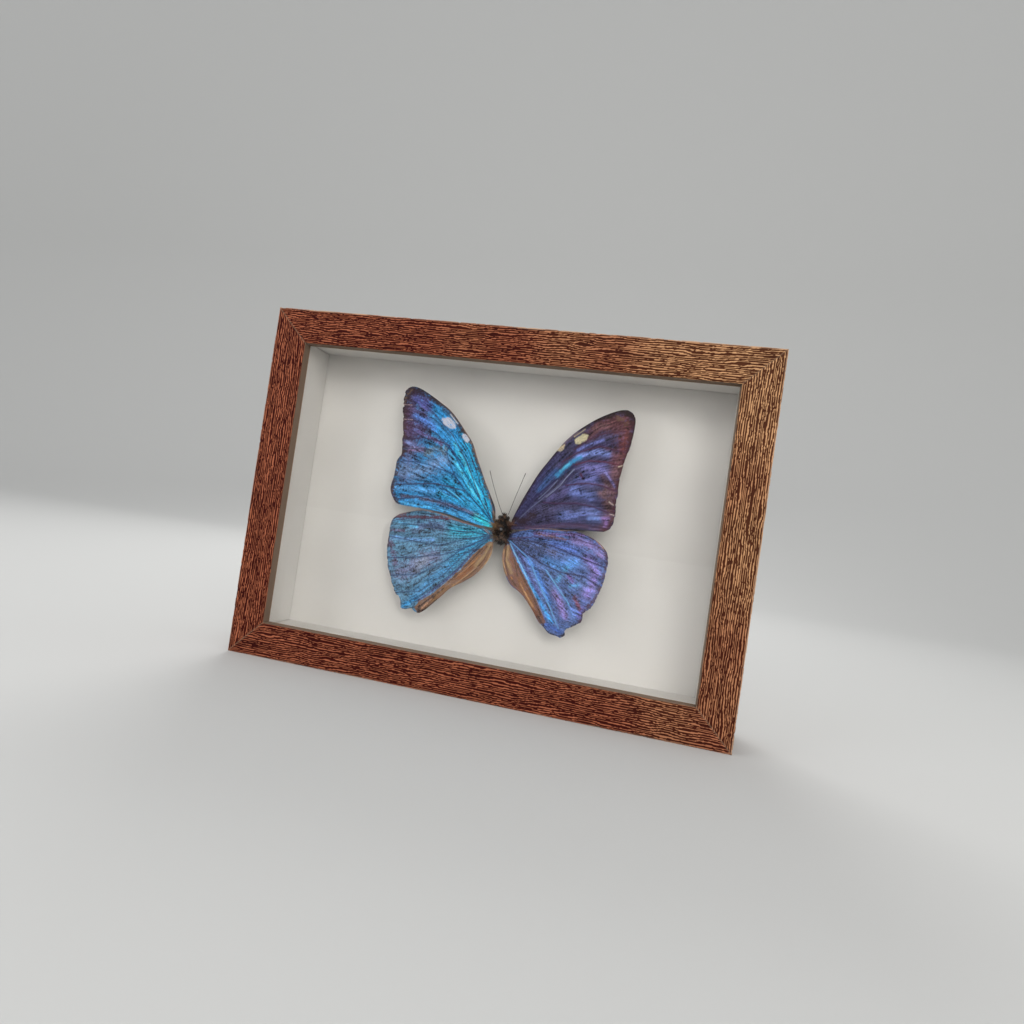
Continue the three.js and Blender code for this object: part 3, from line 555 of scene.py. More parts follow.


# ------------------------------------------------------------------ wings

# Each wing is drawn by three edges in millimetres from the thorax's middle, (x, z): the leading
# edge from root to apex, the outer margin from apex to rear corner, and the trailing edge from
# root to rear corner. A vein is (colour, width, line). A stroke of scales is (colour, width,
# ragged share, line), laid in this order: washes of colour, then the veins, then the marks.
# The blues are painted as the light falls: the left wings carry a painted reflection in bright azure and
# cyan, the right wings painted shade in dark indigo, violet and mauve. The dark margins, white spots,
# dark veins and brown folds are the wings' own colours.
WINGS = {
    "forewing_left": {
        "offset": FOREWING_OFFSET,
        "ground": "#327EB4",
        "rim": "#443230",
        "rim_width": 1.9,
        "leading": [(-3.9, 5.8), (-4.6, 10.2), (-7.2, 15.1), (-11.2, 22.2), (-16.1, 31.6),
            (-19.7, 38.9), (-25.2, 45.5), (-32, 52.5), (-38.5, 56.6), (-46.2, 60.7), (-50.6, 62.3),
            (-53.7, 62.4)],
        "outer": [(-53.7, 62.4), (-56.3, 59.8), (-56.6, 53.6), (-55.9, 46.3), (-54.6, 40.1),
            (-54.8, 36.2), (-54.1, 30.1), (-55.8, 26), (-55.8, 19.3), (-57, 13.8), (-55.8, 9.5),
            (-53.7, 6.3)],
        "trailing": [(-4.4, 0.9), (-11, 1.2), (-18.6, 2.5), (-26.9, 4.2), (-38.6, 5), (-50.5, 5.3),
            (-53.7, 6.3)],
        "veins": [
            ("#3A3A5C", 0.3, [(-12.4, 13.3), (-21.8, 30.8), (-30.4, 41.9), (-41.2, 51.3),
                (-50.9, 57.1)]),
            ("#18305F", 0.45, [(-4.7, 3.2), (-12.4, 13.3), (-24.9, 28.7), (-31, 36.3)]),
            ("#33304E", 0.35, [(-31, 36.3), (-38.5, 41.6), (-49.2, 46.2), (-56.6, 46.2)]),
            ("#3C2C48", 0.45, [(-31, 36.3), (-35.6, 38), (-43.9, 38.6), (-55, 36.8)]),
            ("#1E4470", 0.3, [(-31, 36.3), (-31.8, 32.9), (-26.7, 23.2)]),
            ("#3B4A66", 0.3, [(-31.8, 32.9), (-40.7, 33.5), (-54.5, 32.4)]),
            ("#15325E", 0.4, [(-4.6, 2.9), (-12.4, 10), (-20.2, 16.3), (-26.7, 23.2)]),
            ("#22406E", 0.3, [(-26.7, 23.2), (-39.6, 26.3), (-47.9, 26.8), (-55.6, 25.9)]),
            ("#3A3450", 0.4, [(-20.2, 16.2), (-34.8, 17.7), (-56.4, 14.5)]),
            ("#20365E", 0.35, [(-4.6, 2.6), (-12.2, 4.8), (-25.2, 7.7), (-38.4, 11.1), (-54.4, 7.5)]),
        ],
        "washes": [
            ("#46324E", 9, 0.4, [(-52.5, 60), (-52, 52), (-51, 44), (-51, 38)]),
            ("#4A3450", 5, 0.5, [(-54, 58), (-54, 48), (-54, 40), (-54, 34)]),
            ("#544A80", 5, 0.5, [(-46, 57), (-45.5, 48), (-46.5, 42)]),
            ("#5C6088", 6, 0.4, [(-50.5, 33), (-50, 24), (-51, 19)]),
            ("#22A6D2", 2.6, 0.3, [(-5.5, 5.5), (-10.5, 17), (-17, 30), (-21.5, 37.5), (-26.5, 43)]),
            ("#1FAEDC", 4.8, 0.3, [(-7, 3.5), (-12.5, 12.5), (-18, 21.5), (-24, 29.5), (-29.5, 36)]),
            ("#2A97C8", 3.6, 0.2, [(-8, 2.5), (-16.5, 10.5), (-23, 16), (-29.5, 20)]),
            ("#3A9BE0", 2.8, 0.2, [(-29.5, 36), (-35, 41), (-40, 44)]),
            ("#5A86D6", 2.6, 0.3, [(-40, 44), (-45.5, 47.5), (-49.5, 49.5)]),
            ("#5458A0", 2.4, 0.4, [(-51, 56.5), (-47, 55), (-43, 54)]),
            ("#40304A", 2, 0.5, [(-55, 50.5), (-50, 50.5), (-44.5, 49)]),
            ("#40304A", 2, 0.5, [(-54, 43.5), (-48, 43.5), (-42, 42)]),
            # Painted highlights: thin bright lines along the cell.
            ("#5CCFEF", 0.7, 0.8, [(-9.5, 9.5), (-16, 20.5), (-22.5, 30), (-28.5, 37.5)]),
            ("#58C4E8", 0.6, 0.8, [(-14, 13), (-20.5, 21.5), (-27, 29.5)]),
            ("#2F96D8", 2.2, 0.2, [(-40.5, 53.5), (-36.5, 50), (-31, 45), (-27, 41)]),
            ("#6B86AE", 5.2, 0.5, [(-33, 29.5), (-40.5, 24), (-47, 22), (-52.5, 22.5)]),
            ("#6D8496", 2.2, 0.8, [(-34, 33.5), (-38.5, 34.5), (-40.5, 32)]),
            ("#4C3044", 3.6, 0.6, [(-56, 54), (-55, 46.5), (-54, 40.5), (-53, 35), (-53.5, 30)]),
            ("#65507A", 1.5, 0.6, [(-52.5, 40.5), (-46.5, 40), (-40, 39), (-35.5, 37)]),
            ("#7C8CC4", 1, 0.5, [(-53.6, 36.4), (-49.8, 34.6), (-45.9, 32.8)]),
            ("#7C6488", 1.6, 0.6, [(-51, 31.5), (-47.5, 32.5), (-44, 33)]),
            ("#5AA4E2", 1.6, 0.3, [(-55.5, 13.5), (-48, 13.5), (-40, 14), (-33, 13)]),
            ("#35A4D8", 1.7, 0.2, [(-33, 13), (-22, 11), (-12.5, 8.5)]),
            ("#655E76", 1.2, 0.5, [(-51, 9.5), (-43.5, 10), (-36.5, 9.5), (-27.5, 8.5), (-18, 7),
                (-12.5, 5.5)]),
            ("#4CA6DE", 0.9, 0.2, [(-51.8, 6.2), (-44.7, 6.3), (-35.9, 6.2), (-27.1, 5.2),
                (-20.1, 4.5), (-13.6, 2.7)]),
            ("#59405A", 0.8, 0.4, [(-56, 13.5), (-55.4, 10.2), (-53.8, 7.1)]),
            ("#38C2CE", 2, 0.2, [(-6, 1), (-9.5, 3.5), (-13.5, 4.5)]),
            # Painted shade and highlights of fine wrinkles: thin dark and light lines.
            ("#1F3A66", 0.35, 0.3, [(-35.7, 16.2), (-30.8, 14.1), (-27.1, 12.9)]),
            ("#1F3A66", 0.35, 0.3, [(-32.3, 16.7), (-26.1, 13.6), (-21.1, 11)]),
            ("#1F3A66", 0.35, 0.3, [(-27.7, 16.7), (-22.8, 14.6), (-17.2, 11.5)]),
            ("#5CC0E4", 0.25, 0.4, [(-33.9, 15.4), (-28.2, 12.2)]),
        ],
        "marks": [
            # A painted highlight of a fine wrinkle.
            ("#5CC0E4", 0.25, 0.4, [(-28.8, 16), (-22.5, 12.5)]),
            ("#1E2E62", 0.7, 0.2, [(-31, 36), (-26.6, 31.8), (-22.4, 27.4)]),
            ("#26161A", 3.2, 0.4, [(-40.5, 58.7), (-47.5, 61.7), (-53.5, 61), (-55.5, 58), (-56.5, 52)]),
            ("#6A5242", 0.5, 1.2, [(-53.2, 60.8), (-55.7, 57.7), (-55.9, 53.1)]),
            ("#2E1426", 1.3, 0.3, [(-52, 60.5), (-47, 59)]),
            ("#3E2E2C", 1.7, 0.2, [(-3.9, 6), (-7.2, 15.1), (-11.2, 22.2), (-16.1, 31.6),
                (-19.7, 38.9), (-25.2, 45.5), (-32, 52.5), (-38.5, 56.6)]),
            ("#94786A", 0.35, 1.3, [(-4.4, 6.6), (-9.3, 18), (-13.7, 27.3), (-18.3, 35.5),
                (-22.8, 42.9), (-27.4, 48.2), (-33, 53.6), (-38.3, 57)]),
            ("#54402F", 1.4, 0.4, [(-3.6, 0.8), (-3.9, 3), (-4, 6)]),
            ("#2C3050", 0.4, 0.7, [(-6.8, 6.4), (-11.9, 17.7), (-16, 26), (-20.6, 34.2), (-25, 40.3),
                (-28.5, 44.4)]),
            ("#CFCEDA", 0.5, 1, [(-36.2, 48.7), (-33.1, 49.5), (-29.6, 47.4), (-29.5, 45.2),
                (-31.8, 44.7), (-35, 46.6), (-36.2, 48.7)]),
            ("#CFCEDA", 0.4, 1, [(-25.1, 42.6), (-23.3, 42.2), (-21.5, 40.2), (-22.5, 39.2),
                (-24.5, 40.7), (-25.1, 42.6)]),
            ("#DAD6D2", 0.35, 0.2, [(-32.4, 51.2), (-28.3, 47.2)]),
            ("#B89C98", 0.2, 0.2, [(-56.3, 46.3), (-51, 46.6)]),
            ("#B89C98", 0.2, 0.2, [(-56.3, 53.4), (-52.1, 53.5)]),
        ],
    },
    "forewing_right": {
        "offset": FOREWING_OFFSET,
        "ground": "#3C3858",
        "rim": "#2A1C1E",
        "rim_width": 0.6,
        "leading": [(4, 5.6), (7.3, 14.7), (10.5, 22.2), (13.8, 29.2), (17.2, 34.8), (20.6, 40.4),
            (24.1, 45.5), (28.5, 50.2), (33.1, 54), (36.8, 56.7), (41.9, 59.6), (46.4, 61.5),
            (49.7, 62)],
        "outer": [(49.7, 62), (52.2, 60.7), (53.6, 58.3), (53.8, 55.3), (53.6, 50.5), (52.9, 44.7),
            (51.8, 40.9), (51.1, 36.7), (50.5, 31.1), (50.4, 26.5), (50.7, 23.4), (50.5, 18.3),
            (50.8, 13.3), (49.6, 8.6), (46.7, 6.4)],
        "trailing": [(4.4, 1.2), (9.2, 2), (19.8, 3.8), (31.8, 5.3), (40, 5.9), (46.7, 6.4)],
        "veins": [
            ("#4A2436", 0.35, [(27.9, 41.7), (34.2, 47.1), (39.1, 49.9), (44.6, 51.6), (50.5, 52.7)]),
            ("#4A2438", 0.35, [(23.4, 35.4), (29.8, 40.3), (34.8, 42.6), (39.9, 44.4), (51, 43.3)]),
            ("#26244E", 0.4, [(4.8, 3.9), (13.4, 17.8), (22.1, 27.3), (29.4, 34.7)]),
            ("#5A2436", 0.4, [(29.4, 34.7), (35.6, 37.4), (42.9, 37.8), (51.5, 37)]),
            ("#30305C", 0.3, [(29.4, 34.7), (29.3, 32.4), (26.6, 25)]),
            # A painted highlight: this vein catches the light.
            ("#6A7090", 0.22, [(4.8, 3.7), (12.1, 12.5), (19.8, 20.5), (24.8, 26), (29.2, 32.8)]),
            ("#4A2440", 0.4, [(26.6, 25), (31.8, 26.3), (37, 27.2), (43.2, 26.9), (49.9, 25.2)]),
            ("#43284A", 0.4, [(17.5, 15.8), (23.7, 16.2), (32.7, 17.5), (40.6, 16.9), (50.2, 14.6)]),
            ("#3C2A4A", 0.35, [(4.9, 3.5), (15.4, 4.2), (27.5, 7.6), (35.6, 8.4), (49.5, 8)]),
        ],
        "washes": [
            ("#6E3834", 4.4, 0.6, [(50.5, 57), (50.5, 50), (50, 43), (49, 37)]),
            ("#624248", 4.2, 0.6, [(48.5, 38), (48, 30), (48, 22), (48, 14), (47, 9)]),
            ("#5E3432", 5, 0.5, [(38, 54), (44, 56), (49, 55)]),
            ("#34335C", 5.6, 0.4, [(6.5, 8), (10.5, 17), (14.5, 26), (19.5, 35)]),
            ("#3B5C94", 2, 0.3, [(15, 21.5), (19, 27.5), (21.5, 31)]),
            ("#603C42", 3.2, 0.5, [(34, 48), (37.5, 53), (42, 54.5), (47.5, 53.5)]),
            ("#765458", 1.4, 0.7, [(36, 52), (38.5, 53.5), (41.5, 53.5)]),
            ("#64404C", 1.8, 0.5, [(43, 43.5), (47, 41), (46, 37.5)]),
            ("#5E4448", 2.3, 0.6, [(42.5, 31.5), (45, 28), (44.5, 23.5)]),
            ("#5E4448", 2.3, 0.6, [(42.5, 23.5), (46, 21), (47.5, 18)]),
            ("#7270B0", 3.4, 0.5, [(34.5, 34), (38.5, 34), (42, 34.5)]),
            ("#6E74B4", 3.2, 0.5, [(32.5, 29), (36, 28.5), (39, 29)]),
            ("#7E7AB8", 0.7, 0.6, [(43.5, 33.3), (46.4, 30), (48.8, 27.1)]),
            ("#6A7ABC", 3.8, 0.5, [(30, 23.5), (33.5, 22), (38, 21.5)]),
            ("#544F7E", 2.1, 0.4, [(20, 17.5), (25, 20.5), (27.5, 23.5)]),
            ("#6E7EC0", 3, 0.5, [(27, 10.5), (33, 12), (39, 14), (42, 14.5)]),
            ("#7088C8", 1.9, 0.5, [(39.5, 11.5), (44, 11.5)]),
            ("#8E70B0", 1.4, 0.6, [(45.5, 12), (47.5, 12.5), (47, 9)]),
            ("#5A2038", 0.8, 0.6, [(32.6, 31.1), (33.9, 29.2)]),
            ("#2C2C58", 0.7, 0.6, [(33, 24.1), (34.5, 21.9)]),
            ("#38284E", 0.8, 0.3, [(28.2, 40.1), (32.8, 42.3), (37.1, 44.1), (41.8, 45.1)]),
            ("#6C74B8", 0.9, 0.4, [(30, 41.6), (33.8, 44.1), (37.6, 46.2), (40.7, 47.4)]),
            ("#7A8CD2", 2.1, 0.4, [(30.5, 38.3), (34.5, 40.3), (39, 41.5), (43.5, 41.6)]),
        ],
        "marks": [
            ("#3C92C8", 1.2, 0.6, [(22, 29), (25, 32.4), (28, 35.8), (31.5, 38.6)]),
            ("#62C6E8", 0.5, 0.5, [(23.2, 31.2), (26.8, 35)]),
            ("#2C1A20", 2.8, 0.4, [(3, 3), (5, 6), (9.5, 5.5), (13, 9)]),
            ("#20130E", 2.4, 0.5, [(31.5, 53), (37, 57), (42.5, 60), (48.5, 61.5), (51.5, 60),
                (52.5, 57)]),
            ("#6A4E40", 0.8, 1.4, [(46, 58.5), (51, 56), (49, 55)]),
            ("#1C120E", 0.8, 0.5, [(50.2, 54.3), (51.1, 53.6)]),
            ("#2A1A1A", 1.2, 0.4, [(49, 62), (53, 59), (53.8, 54), (53.2, 47)]),
            ("#48282A", 1.2, 0.6, [(52.5, 57), (52.5, 50.5), (52, 43), (51, 37), (50, 31.5), (50, 26)]),
            ("#4C2A30", 1.1, 0.6, [(49.5, 22.7), (49.6, 16.1), (49.8, 12.1), (48.3, 8.2), (45.8, 6.2)]),
            ("#54405E", 1, 0.5, [(11.3, 3.2), (23.6, 5.8), (35.8, 7.6), (44, 7.1)]),
            ("#B08C84", 0.35, 0.3, [(6.5, 0.8), (17.6, 3.5), (25.4, 4.4)]),
            ("#2A1A2A", 0.8, 0.4, [(4.3, 7.2), (8.5, 16.2), (12.3, 25.6), (16.9, 34.5), (20.4, 39.2)]),
            ("#6A5A6A", 0.7, 0.6, [(23.1, 43.7), (25.9, 46.9), (28.8, 49.8)]),
            ("#B8A890", 0.35, 0.3, [(27.5, 47.5), (31.9, 51.4)]),
            ("#D2C8A4", 0.4, 0.8, [(28.1, 46.1), (31.1, 48.8), (33.5, 48.8), (33, 46.9),
                (30.4, 44.9), (28.6, 44.5), (28.1, 46.1)]),
            ("#CDBB98", 0.4, 0.8, [(20.8, 40.5), (22.4, 42.3), (23.4, 42.9), (23.2, 41.4),
                (21.9, 40), (20.8, 40.5)]),
            ("#D8C8B0", 0.3, 0.3, [(49.1, 36.3), (50.8, 37.1)]),
            ("#D8C8BC", 0.3, 0.3, [(47.2, 20.1), (49.2, 18.9)]),
            ("#D8C8BC", 0.3, 0.3, [(48.2, 14.7), (50.2, 14.4)]),
            # Painted highlights along the veins.
            ("#9298B4", 0.2, 0.1, [(18.4, 18.4), (24.2, 24.6), (26.2, 28.2), (29.6, 32.8)]),
            ("#7C84A4", 0.2, 0.1, [(15.2, 17.2), (19.5, 22.3), (22.6, 26.9)]),
        ],
    },
    "hindwing_left": {
        "offset": HINDWING_OFFSET,
        "ground": "#54809F",
        "rim": "#473640",
        "rim_width": 0.5,
        "leading": [(-4, -0.6), (-11.9, 0.6), (-21, 1.9), (-30.1, 3.8), (-39, 4.5), (-45.9, 2.7),
            (-51.1, 0.8)],
        "outer": [(-51.1, 0.8), (-54.4, -2.6), (-54.9, -9.5), (-54.8, -14.9), (-54.2, -20.7),
            (-52.1, -27.2), (-50.8, -30), (-48.8, -34.8), (-47.4, -37.2), (-44.4, -39.6),
            (-43.4, -43.3), (-41.2, -43.9)],
        "trailing": [(-3.4, -5), (-3.4, -11.4), (-6, -17.5), (-9.5, -21.9), (-14.3, -26),
            (-20.6, -30.3), (-24.2, -34.5), (-27.4, -38.2), (-29.5, -40.5), (-31.7, -42.8),
            (-34.5, -44.5), (-37.3, -42.8), (-41.2, -43.9)],
        "veins": [
            ("#45405E", 0.35, [(-6.1, -2.3), (-11.8, 0.3), (-25.3, 2), (-43.1, 0.1), (-54.2, -2.8)]),
            ("#2C4468", 0.35, [(-5.6, -2.9), (-13.5, -2.5), (-20.9, -3.2), (-33.5, -2.9),
                (-49.4, -3.5)]),
            ("#2A4468", 0.35, [(-5.4, -3), (-15.2, -5.8), (-30.4, -11.5), (-55.3, -10.4)]),
            ("#2C4670", 0.35, [(-5.1, -3), (-18.8, -11.4), (-27.1, -15.3), (-42.4, -19),
                (-54.1, -20.8)]),
            ("#2A4A74", 0.35, [(-5.1, -3.2), (-18.7, -11.9), (-26.5, -19.1), (-37.6, -26.4),
                (-51.4, -29.1)]),
            ("#2C4C74", 0.35, [(-5.1, -3.4), (-16.3, -13.2), (-25.6, -25.3), (-35.5, -34.3),
                (-47.4, -36.7)]),
            ("#2E4A6C", 0.35, [(-5, -3.6), (-12.2, -11.3), (-18.3, -20.3), (-27.5, -30.4),
                (-40.1, -39.8)]),
        ],
        "washes": [
            ("#2FA3C2", 4.2, 0.2, [(-7, -3), (-12, -3), (-18, -3.5), (-23.5, -3.5)]),
            ("#3390BE", 4.6, 0.2, [(-6.5, -4), (-12.5, -9), (-18.5, -14.5), (-23.5, -21)]),
            ("#4A8CBE", 3.6, 0.3, [(-23.5, -21), (-28, -26), (-33, -31), (-37.5, -37)]),
            ("#74789C", 5.6, 0.5, [(-31.5, -16.5), (-37.5, -21), (-42.5, -25), (-46.5, -26.5)]),
            ("#8690A8", 2.6, 0.6, [(-35.5, -19), (-38, -22.5)]),
            ("#5D6C92", 2.8, 0.6, [(-29, -2.5), (-35.5, -2.5), (-41.5, -5)]),
            ("#6FA2DC", 1.2, 0.4, [(-53, -10.5), (-46, -10.5), (-39.5, -10), (-32.5, -9)]),
            ("#62B4E2", 0.9, 0.4, [(-52.8, -2.6), (-47.1, -3.6), (-41.5, -4.1)]),
            ("#1E2A50", 0.5, 0.3, [(-41.5, -1.2), (-40.5, -1.7)]),
            ("#625474", 1.5, 0.9, [(-53.5, -13.5), (-51.5, -18.5), (-49.5, -22.5)]),
            ("#665C7A", 1.1, 0.9, [(-53.5, -7.1), (-47.5, -7.1)]),
            ("#2E9ADC", 1.7, 0.6, [(-42.5, -42.5), (-40, -40), (-37, -38)]),
            ("#4A4A80", 0.8, 0.5, [(-11.8, -10.8), (-15.4, -16.5), (-19.4, -22.2), (-25.1, -28.7),
                (-30.5, -34.3), (-35.3, -38.6)]),
        ],
        "marks": [
            ("#1A2040", 0.5, 0.3, [(-11.8, -11.2), (-10.2, -10.1)]),
            ("#CDB0AC", 0.6, 0.3, [(-52.4, 0.5), (-45.9, 3.4), (-40.2, 4.6), (-33.8, 4.4),
                (-27.3, 3.2)]),
            ("#5E3440", 1.1, 0.5, [(-52.2, -0.8), (-45.4, 0.2), (-38.7, 1.3), (-32, 1.9), (-26.2, 2)]),
            ("#B08C80", 0.5, 0.3, [(-26.3, 2.5), (-19.9, 1.7), (-14, 0.6), (-10, 0.5)]),
            ("#7A6068", 0.8, 0.6, [(-54.1, -0.6), (-47.9, 1.6)]),
            ("#D8C0B8", 0.5, 0.2, [(-8.6, -0.1), (-6.2, -1.9)]),
            ("#28323E", 0.35, 0.2, [(-9.6, 0.6), (-5.2, -2.6)]),
            ("#4A3830", 2.2, 0.2, [(-4, 0.6), (-3.8, -2), (-3.4, -5.2)]),
            ("#86592F", 0.35, 0.3, [(-2.5, -6), (-5.6, -6), (-9.3, -10), (-12.3, -13.4),
                (-17.3, -21.4), (-22.6, -27.4), (-28.7, -34.4), (-34.7, -38.9), (-36.5, -42.2),
                (-34.3, -44.8), (-29.5, -40.6), (-22.6, -33), (-16.4, -27.3), (-8.5, -21.3),
                (-3.4, -14.6), (-1.8, -7.6), (-2.5, -6)]),
            ("#8A5630", 1.9, 0.5, [(-11.5, -17.5), (-14.5, -21.5), (-17.5, -24.5)]),
            ("#A1855F", 1.2, 0.4, [(-4.5, -7), (-6.5, -12.5), (-10, -18)]),
            ("#4A2E1A", 0.4, 0.5, [(-6.1, -8.2), (-9.6, -13.9), (-13.1, -19.5)]),
            ("#3C2416", 0.4, 0.8, [(-8, -9.2), (-12.5, -15.5), (-17, -21.8), (-22, -27.5)]),
            ("#54361E", 0.35, 0.6, [(-4.2, -8), (-6.5, -14.5), (-10.5, -20.5), (-15.5, -25.5)]),
            ("#C8A87C", 0.4, 0.6, [(-3.2, -9), (-4.8, -15), (-8, -20)]),
            ("#BE9468", 0.35, 0.8, [(-9.5, -18.5), (-14.5, -24), (-20, -29.5)]),
            ("#B07A48", 0.35, 0.8, [(-8.5, -12.5), (-12.5, -18), (-18, -24)]),
            ("#8A6234", 0.9, 0.5, [(-20.7, -28), (-26.4, -34.5), (-28.2, -37.4)]),
            ("#3A2018", 1.1, 0.9, [(-28.5, -35.7), (-31.6, -38.8), (-33.9, -41.3), (-34.5, -43.6)]),
            ("#C09070", 0.5, 1.4, [(-29.2, -36.7), (-33, -41.6)]),
            ("#241410", 0.5, 0.9, [(-26, -36.5), (-29.5, -40), (-32.5, -43), (-35, -44)]),
            ("#2A1812", 0.45, 0.9, [(-24, -31), (-29, -36), (-34.5, -41.5)]),
            ("#14121A", 0.45, 0.2, [(-41.2, -44.1), (-37.4, -42.4)]),
        ],
    },
    "hindwing_right": {
        "offset": HINDWING_OFFSET,
        "ground": "#5068A0",
        "rim": "#3E2E38",
        "rim_width": 0.5,
        "leading": [(4, -0.8), (7, 1), (12.9, 2.8), (19.4, 3.8), (26.8, 4.4), (33.7, 4.9),
            (38.9, 3.9), (44.2, 1.9), (47.7, -0.6)],
        "outer": [(47.7, -0.6), (50, -3.6), (50.6, -8.1), (50.3, -12.3), (49.3, -18.3), (47.8, -23.2),
            (46.2, -28), (43, -31.3), (42.3, -35.5), (38.9, -38), (36.1, -40.3), (35.9, -42.6),
            (34.1, -44.3)],
        "trailing": [(2.5, -4.8), (1.7, -10.2), (2.6, -15.2), (4.9, -20.5), (7.8, -24.2),
            (12.3, -26.8), (15.8, -29.9), (19.8, -34.4), (22.8, -38.5), (25.4, -40.4), (28.6, -43),
            (32.4, -43.7), (34.1, -44.3)],
        "veins": [
            ("#4C3A60", 0.3, [(4, -3), (16.4, -0.3), (26.4, -0.1), (36.2, 1.2), (46.7, -0.7)]),
            ("#241E44", 0.45, [(4.3, -3.4), (15.1, -2.6), (25.3, -3.6), (36.5, -6.4), (49.5, -9.3)]),
            ("#241E44", 0.45, [(4.4, -3.8), (13.4, -8.7), (22.4, -12.7), (30.2, -14.8),
                (40.5, -14.8), (47.9, -18.1)]),
            # Painted highlights: these veins catch the light.
            ("#5E8CD0", 0.3, [(22.7, -14.7), (28.7, -21.2), (34.5, -26.9), (38.3, -33.6)]),
            ("#5E9CDC", 0.3, [(4.4, -4), (15.1, -11.4), (19.1, -18.6), (24.5, -26.5), (30, -35.9),
                (32.7, -40.3)]),
            ("#6CB4E8", 0.3, [(4, -4.3), (7, -8.8), (14.1, -19), (19.5, -27.3), (24.5, -35.6)]),
        ],
        "washes": [
            ("#3C466C", 5, 0.5, [(4.5, -4), (12, -5), (19, -6), (25, -6.5)]),
            ("#8474AC", 3, 0.5, [(34, 1), (40.5, 0.5), (44.5, -1), (47.5, -4.5)]),
            ("#5A74C0", 2.5, 0.4, [(25, -3), (31, -3.5), (35.5, -4.5)]),
            ("#5C6088", 1.6, 0.6, [(23, -6), (26.5, -6.5)]),
            ("#8C7CC8", 3.4, 0.4, [(41.5, -7), (45.5, -11.5), (45, -18.5), (43, -23)]),
            ("#5A94DC", 3.2, 0.4, [(23, -11), (28.5, -12.5), (33, -11), (36, -9.5)]),
            ("#8E78BE", 2.4, 0.5, [(28.5, -24.5), (32, -29), (34.5, -34)]),
            ("#6A86D0", 2.6, 0.4, [(36.5, -30), (39.5, -32)]),
            ("#6C68B8", 1.5, 0.4, [(42.5, -28.5), (41, -33.5)]),
            ("#8C4C60", 1.2, 0.6, [(38, -25), (39.5, -27.5), (41, -29.5)]),
            ("#5A9ED4", 1.2, 0.9, [(33, -12), (31, -14.5), (29, -19)]),
            ("#5A9ED4", 1, 0.9, [(35.2, -20.2), (38.7, -19.2)]),
            ("#6C4C98", 1.1, 0.6, [(33.7, -15.9), (36.1, -18)]),
            ("#4A84D8", 1.5, 0.2, [(14.5, -11.5), (19, -16.5), (22.5, -22.5), (27, -29.5)]),
            ("#4E4C88", 1, 0.3, [(9.6, -8.9), (14.6, -16.5), (18.8, -22.4), (21.9, -26.5)]),
            ("#3F9EE8", 1.1, 0.2, [(8.8, -12.3), (11.4, -15.3), (15.7, -21.3), (20.4, -27.2),
                (24.5, -32.3), (28.5, -37)]),
            ("#7A6098", 1.2, 0.6, [(15.5, 1), (23.5, 2), (32, 3), (38, 3.5)]),
            ("#8A6A70", 0.7, 0.8, [(17, 1.4), (23.8, 0.8), (30.1, 0.5)]),
            ("#3A60B4", 1.4, 0.7, [(26.5, -39.5), (30.5, -40.5), (33.5, -42)]),
            ("#3FA0F0", 0.9, 0.6, [(27.1, -36), (29.5, -38)]),
        ],
        "marks": [
            ("#7C4E2A", 0.35, 0.3, [(1.3, -5.1), (4.6, -7.1), (8.4, -12.4), (12.2, -17.7),
                (16.5, -23.7), (20.7, -29.2), (23.4, -33.7), (26.2, -38.6), (23.8, -39.4),
                (19.7, -34.3), (14.6, -28.1), (8, -23.8), (3.7, -18.2), (1.3, -11), (1.3, -5.1)]),
            ("#7E5230", 2, 0.5, [(11.5, -21), (15, -27), (19, -31.5)]),
            ("#A0835E", 1.1, 0.4, [(3.7, -6.4), (4.2, -13.1), (7.2, -18.5)]),
            ("#4A2E1A", 0.4, 0.5, [(6.3, -9.4), (8.3, -14.1), (10.4, -19.6)]),
            ("#52341E", 0.35, 0.6, [(3, -7), (3.4, -13.5), (6, -19.5), (10.5, -24.5)]),
            ("#3A2014", 0.4, 0.8, [(9.5, -15), (14.5, -22), (19.5, -29), (23.5, -35.5)]),
            ("#B8946C", 0.35, 0.6, [(2.2, -8.5), (2.6, -14), (5.2, -20)]),
            ("#C09060", 0.35, 0.8, [(12, -22.5), (16, -28), (20.5, -33.5)]),
            ("#B07848", 0.4, 0.5, [(7.3, -20.4), (8, -21.3)]),
            ("#6E3A1C", 0.8, 0.4, [(19.6, -33.1), (22.6, -36.7)]),
            ("#2C1610", 0.8, 0.6, [(22.5, -36.3), (24.1, -38.1), (25.6, -39.9)]),
            ("#1C1424", 0.7, 0.5, [(25.3, -40.8), (29.4, -43), (33.6, -43.5), (36.3, -42.2),
                (37.1, -39.5), (40.1, -37.4)]),
            ("#4E3248", 0.9, 0.5, [(48.4, -1.3), (50.1, -7.5), (49.3, -13.4), (48.5, -19.2),
                (46.5, -24.8), (42.8, -30.8), (41.8, -35)]),
            ("#6E5A48", 0.8, 0.7, [(46.3, -0.8), (48.8, -1.6)]),
            ("#C8A898", 0.4, 0.3, [(8.1, 1.6), (15, 3.5), (20.8, 4.1), (26.6, 4.3)]),
            ("#C09888", 0.4, 0.3, [(27.4, 4.4), (33.5, 5.3), (39, 4.7), (43.4, 2.5), (47.5, -1)]),
            # Painted highlights along the veins.
            ("#9CC6E8", 0.25, 0.1, [(6.6, -8.5), (9.7, -12.6), (13, -17.1), (15.6, -20.9)]),
            ("#78B4E4", 0.22, 0.1, [(14.7, -11.4), (19.2, -19.1), (24, -26.6), (28.9, -34),
                (31.2, -38.5)]),
            ("#70BCE6", 0.22, 0.1, [(23.1, -14.7), (28.1, -20.1), (32.6, -25.1), (36, -28.7)]),
        ],
    },
}


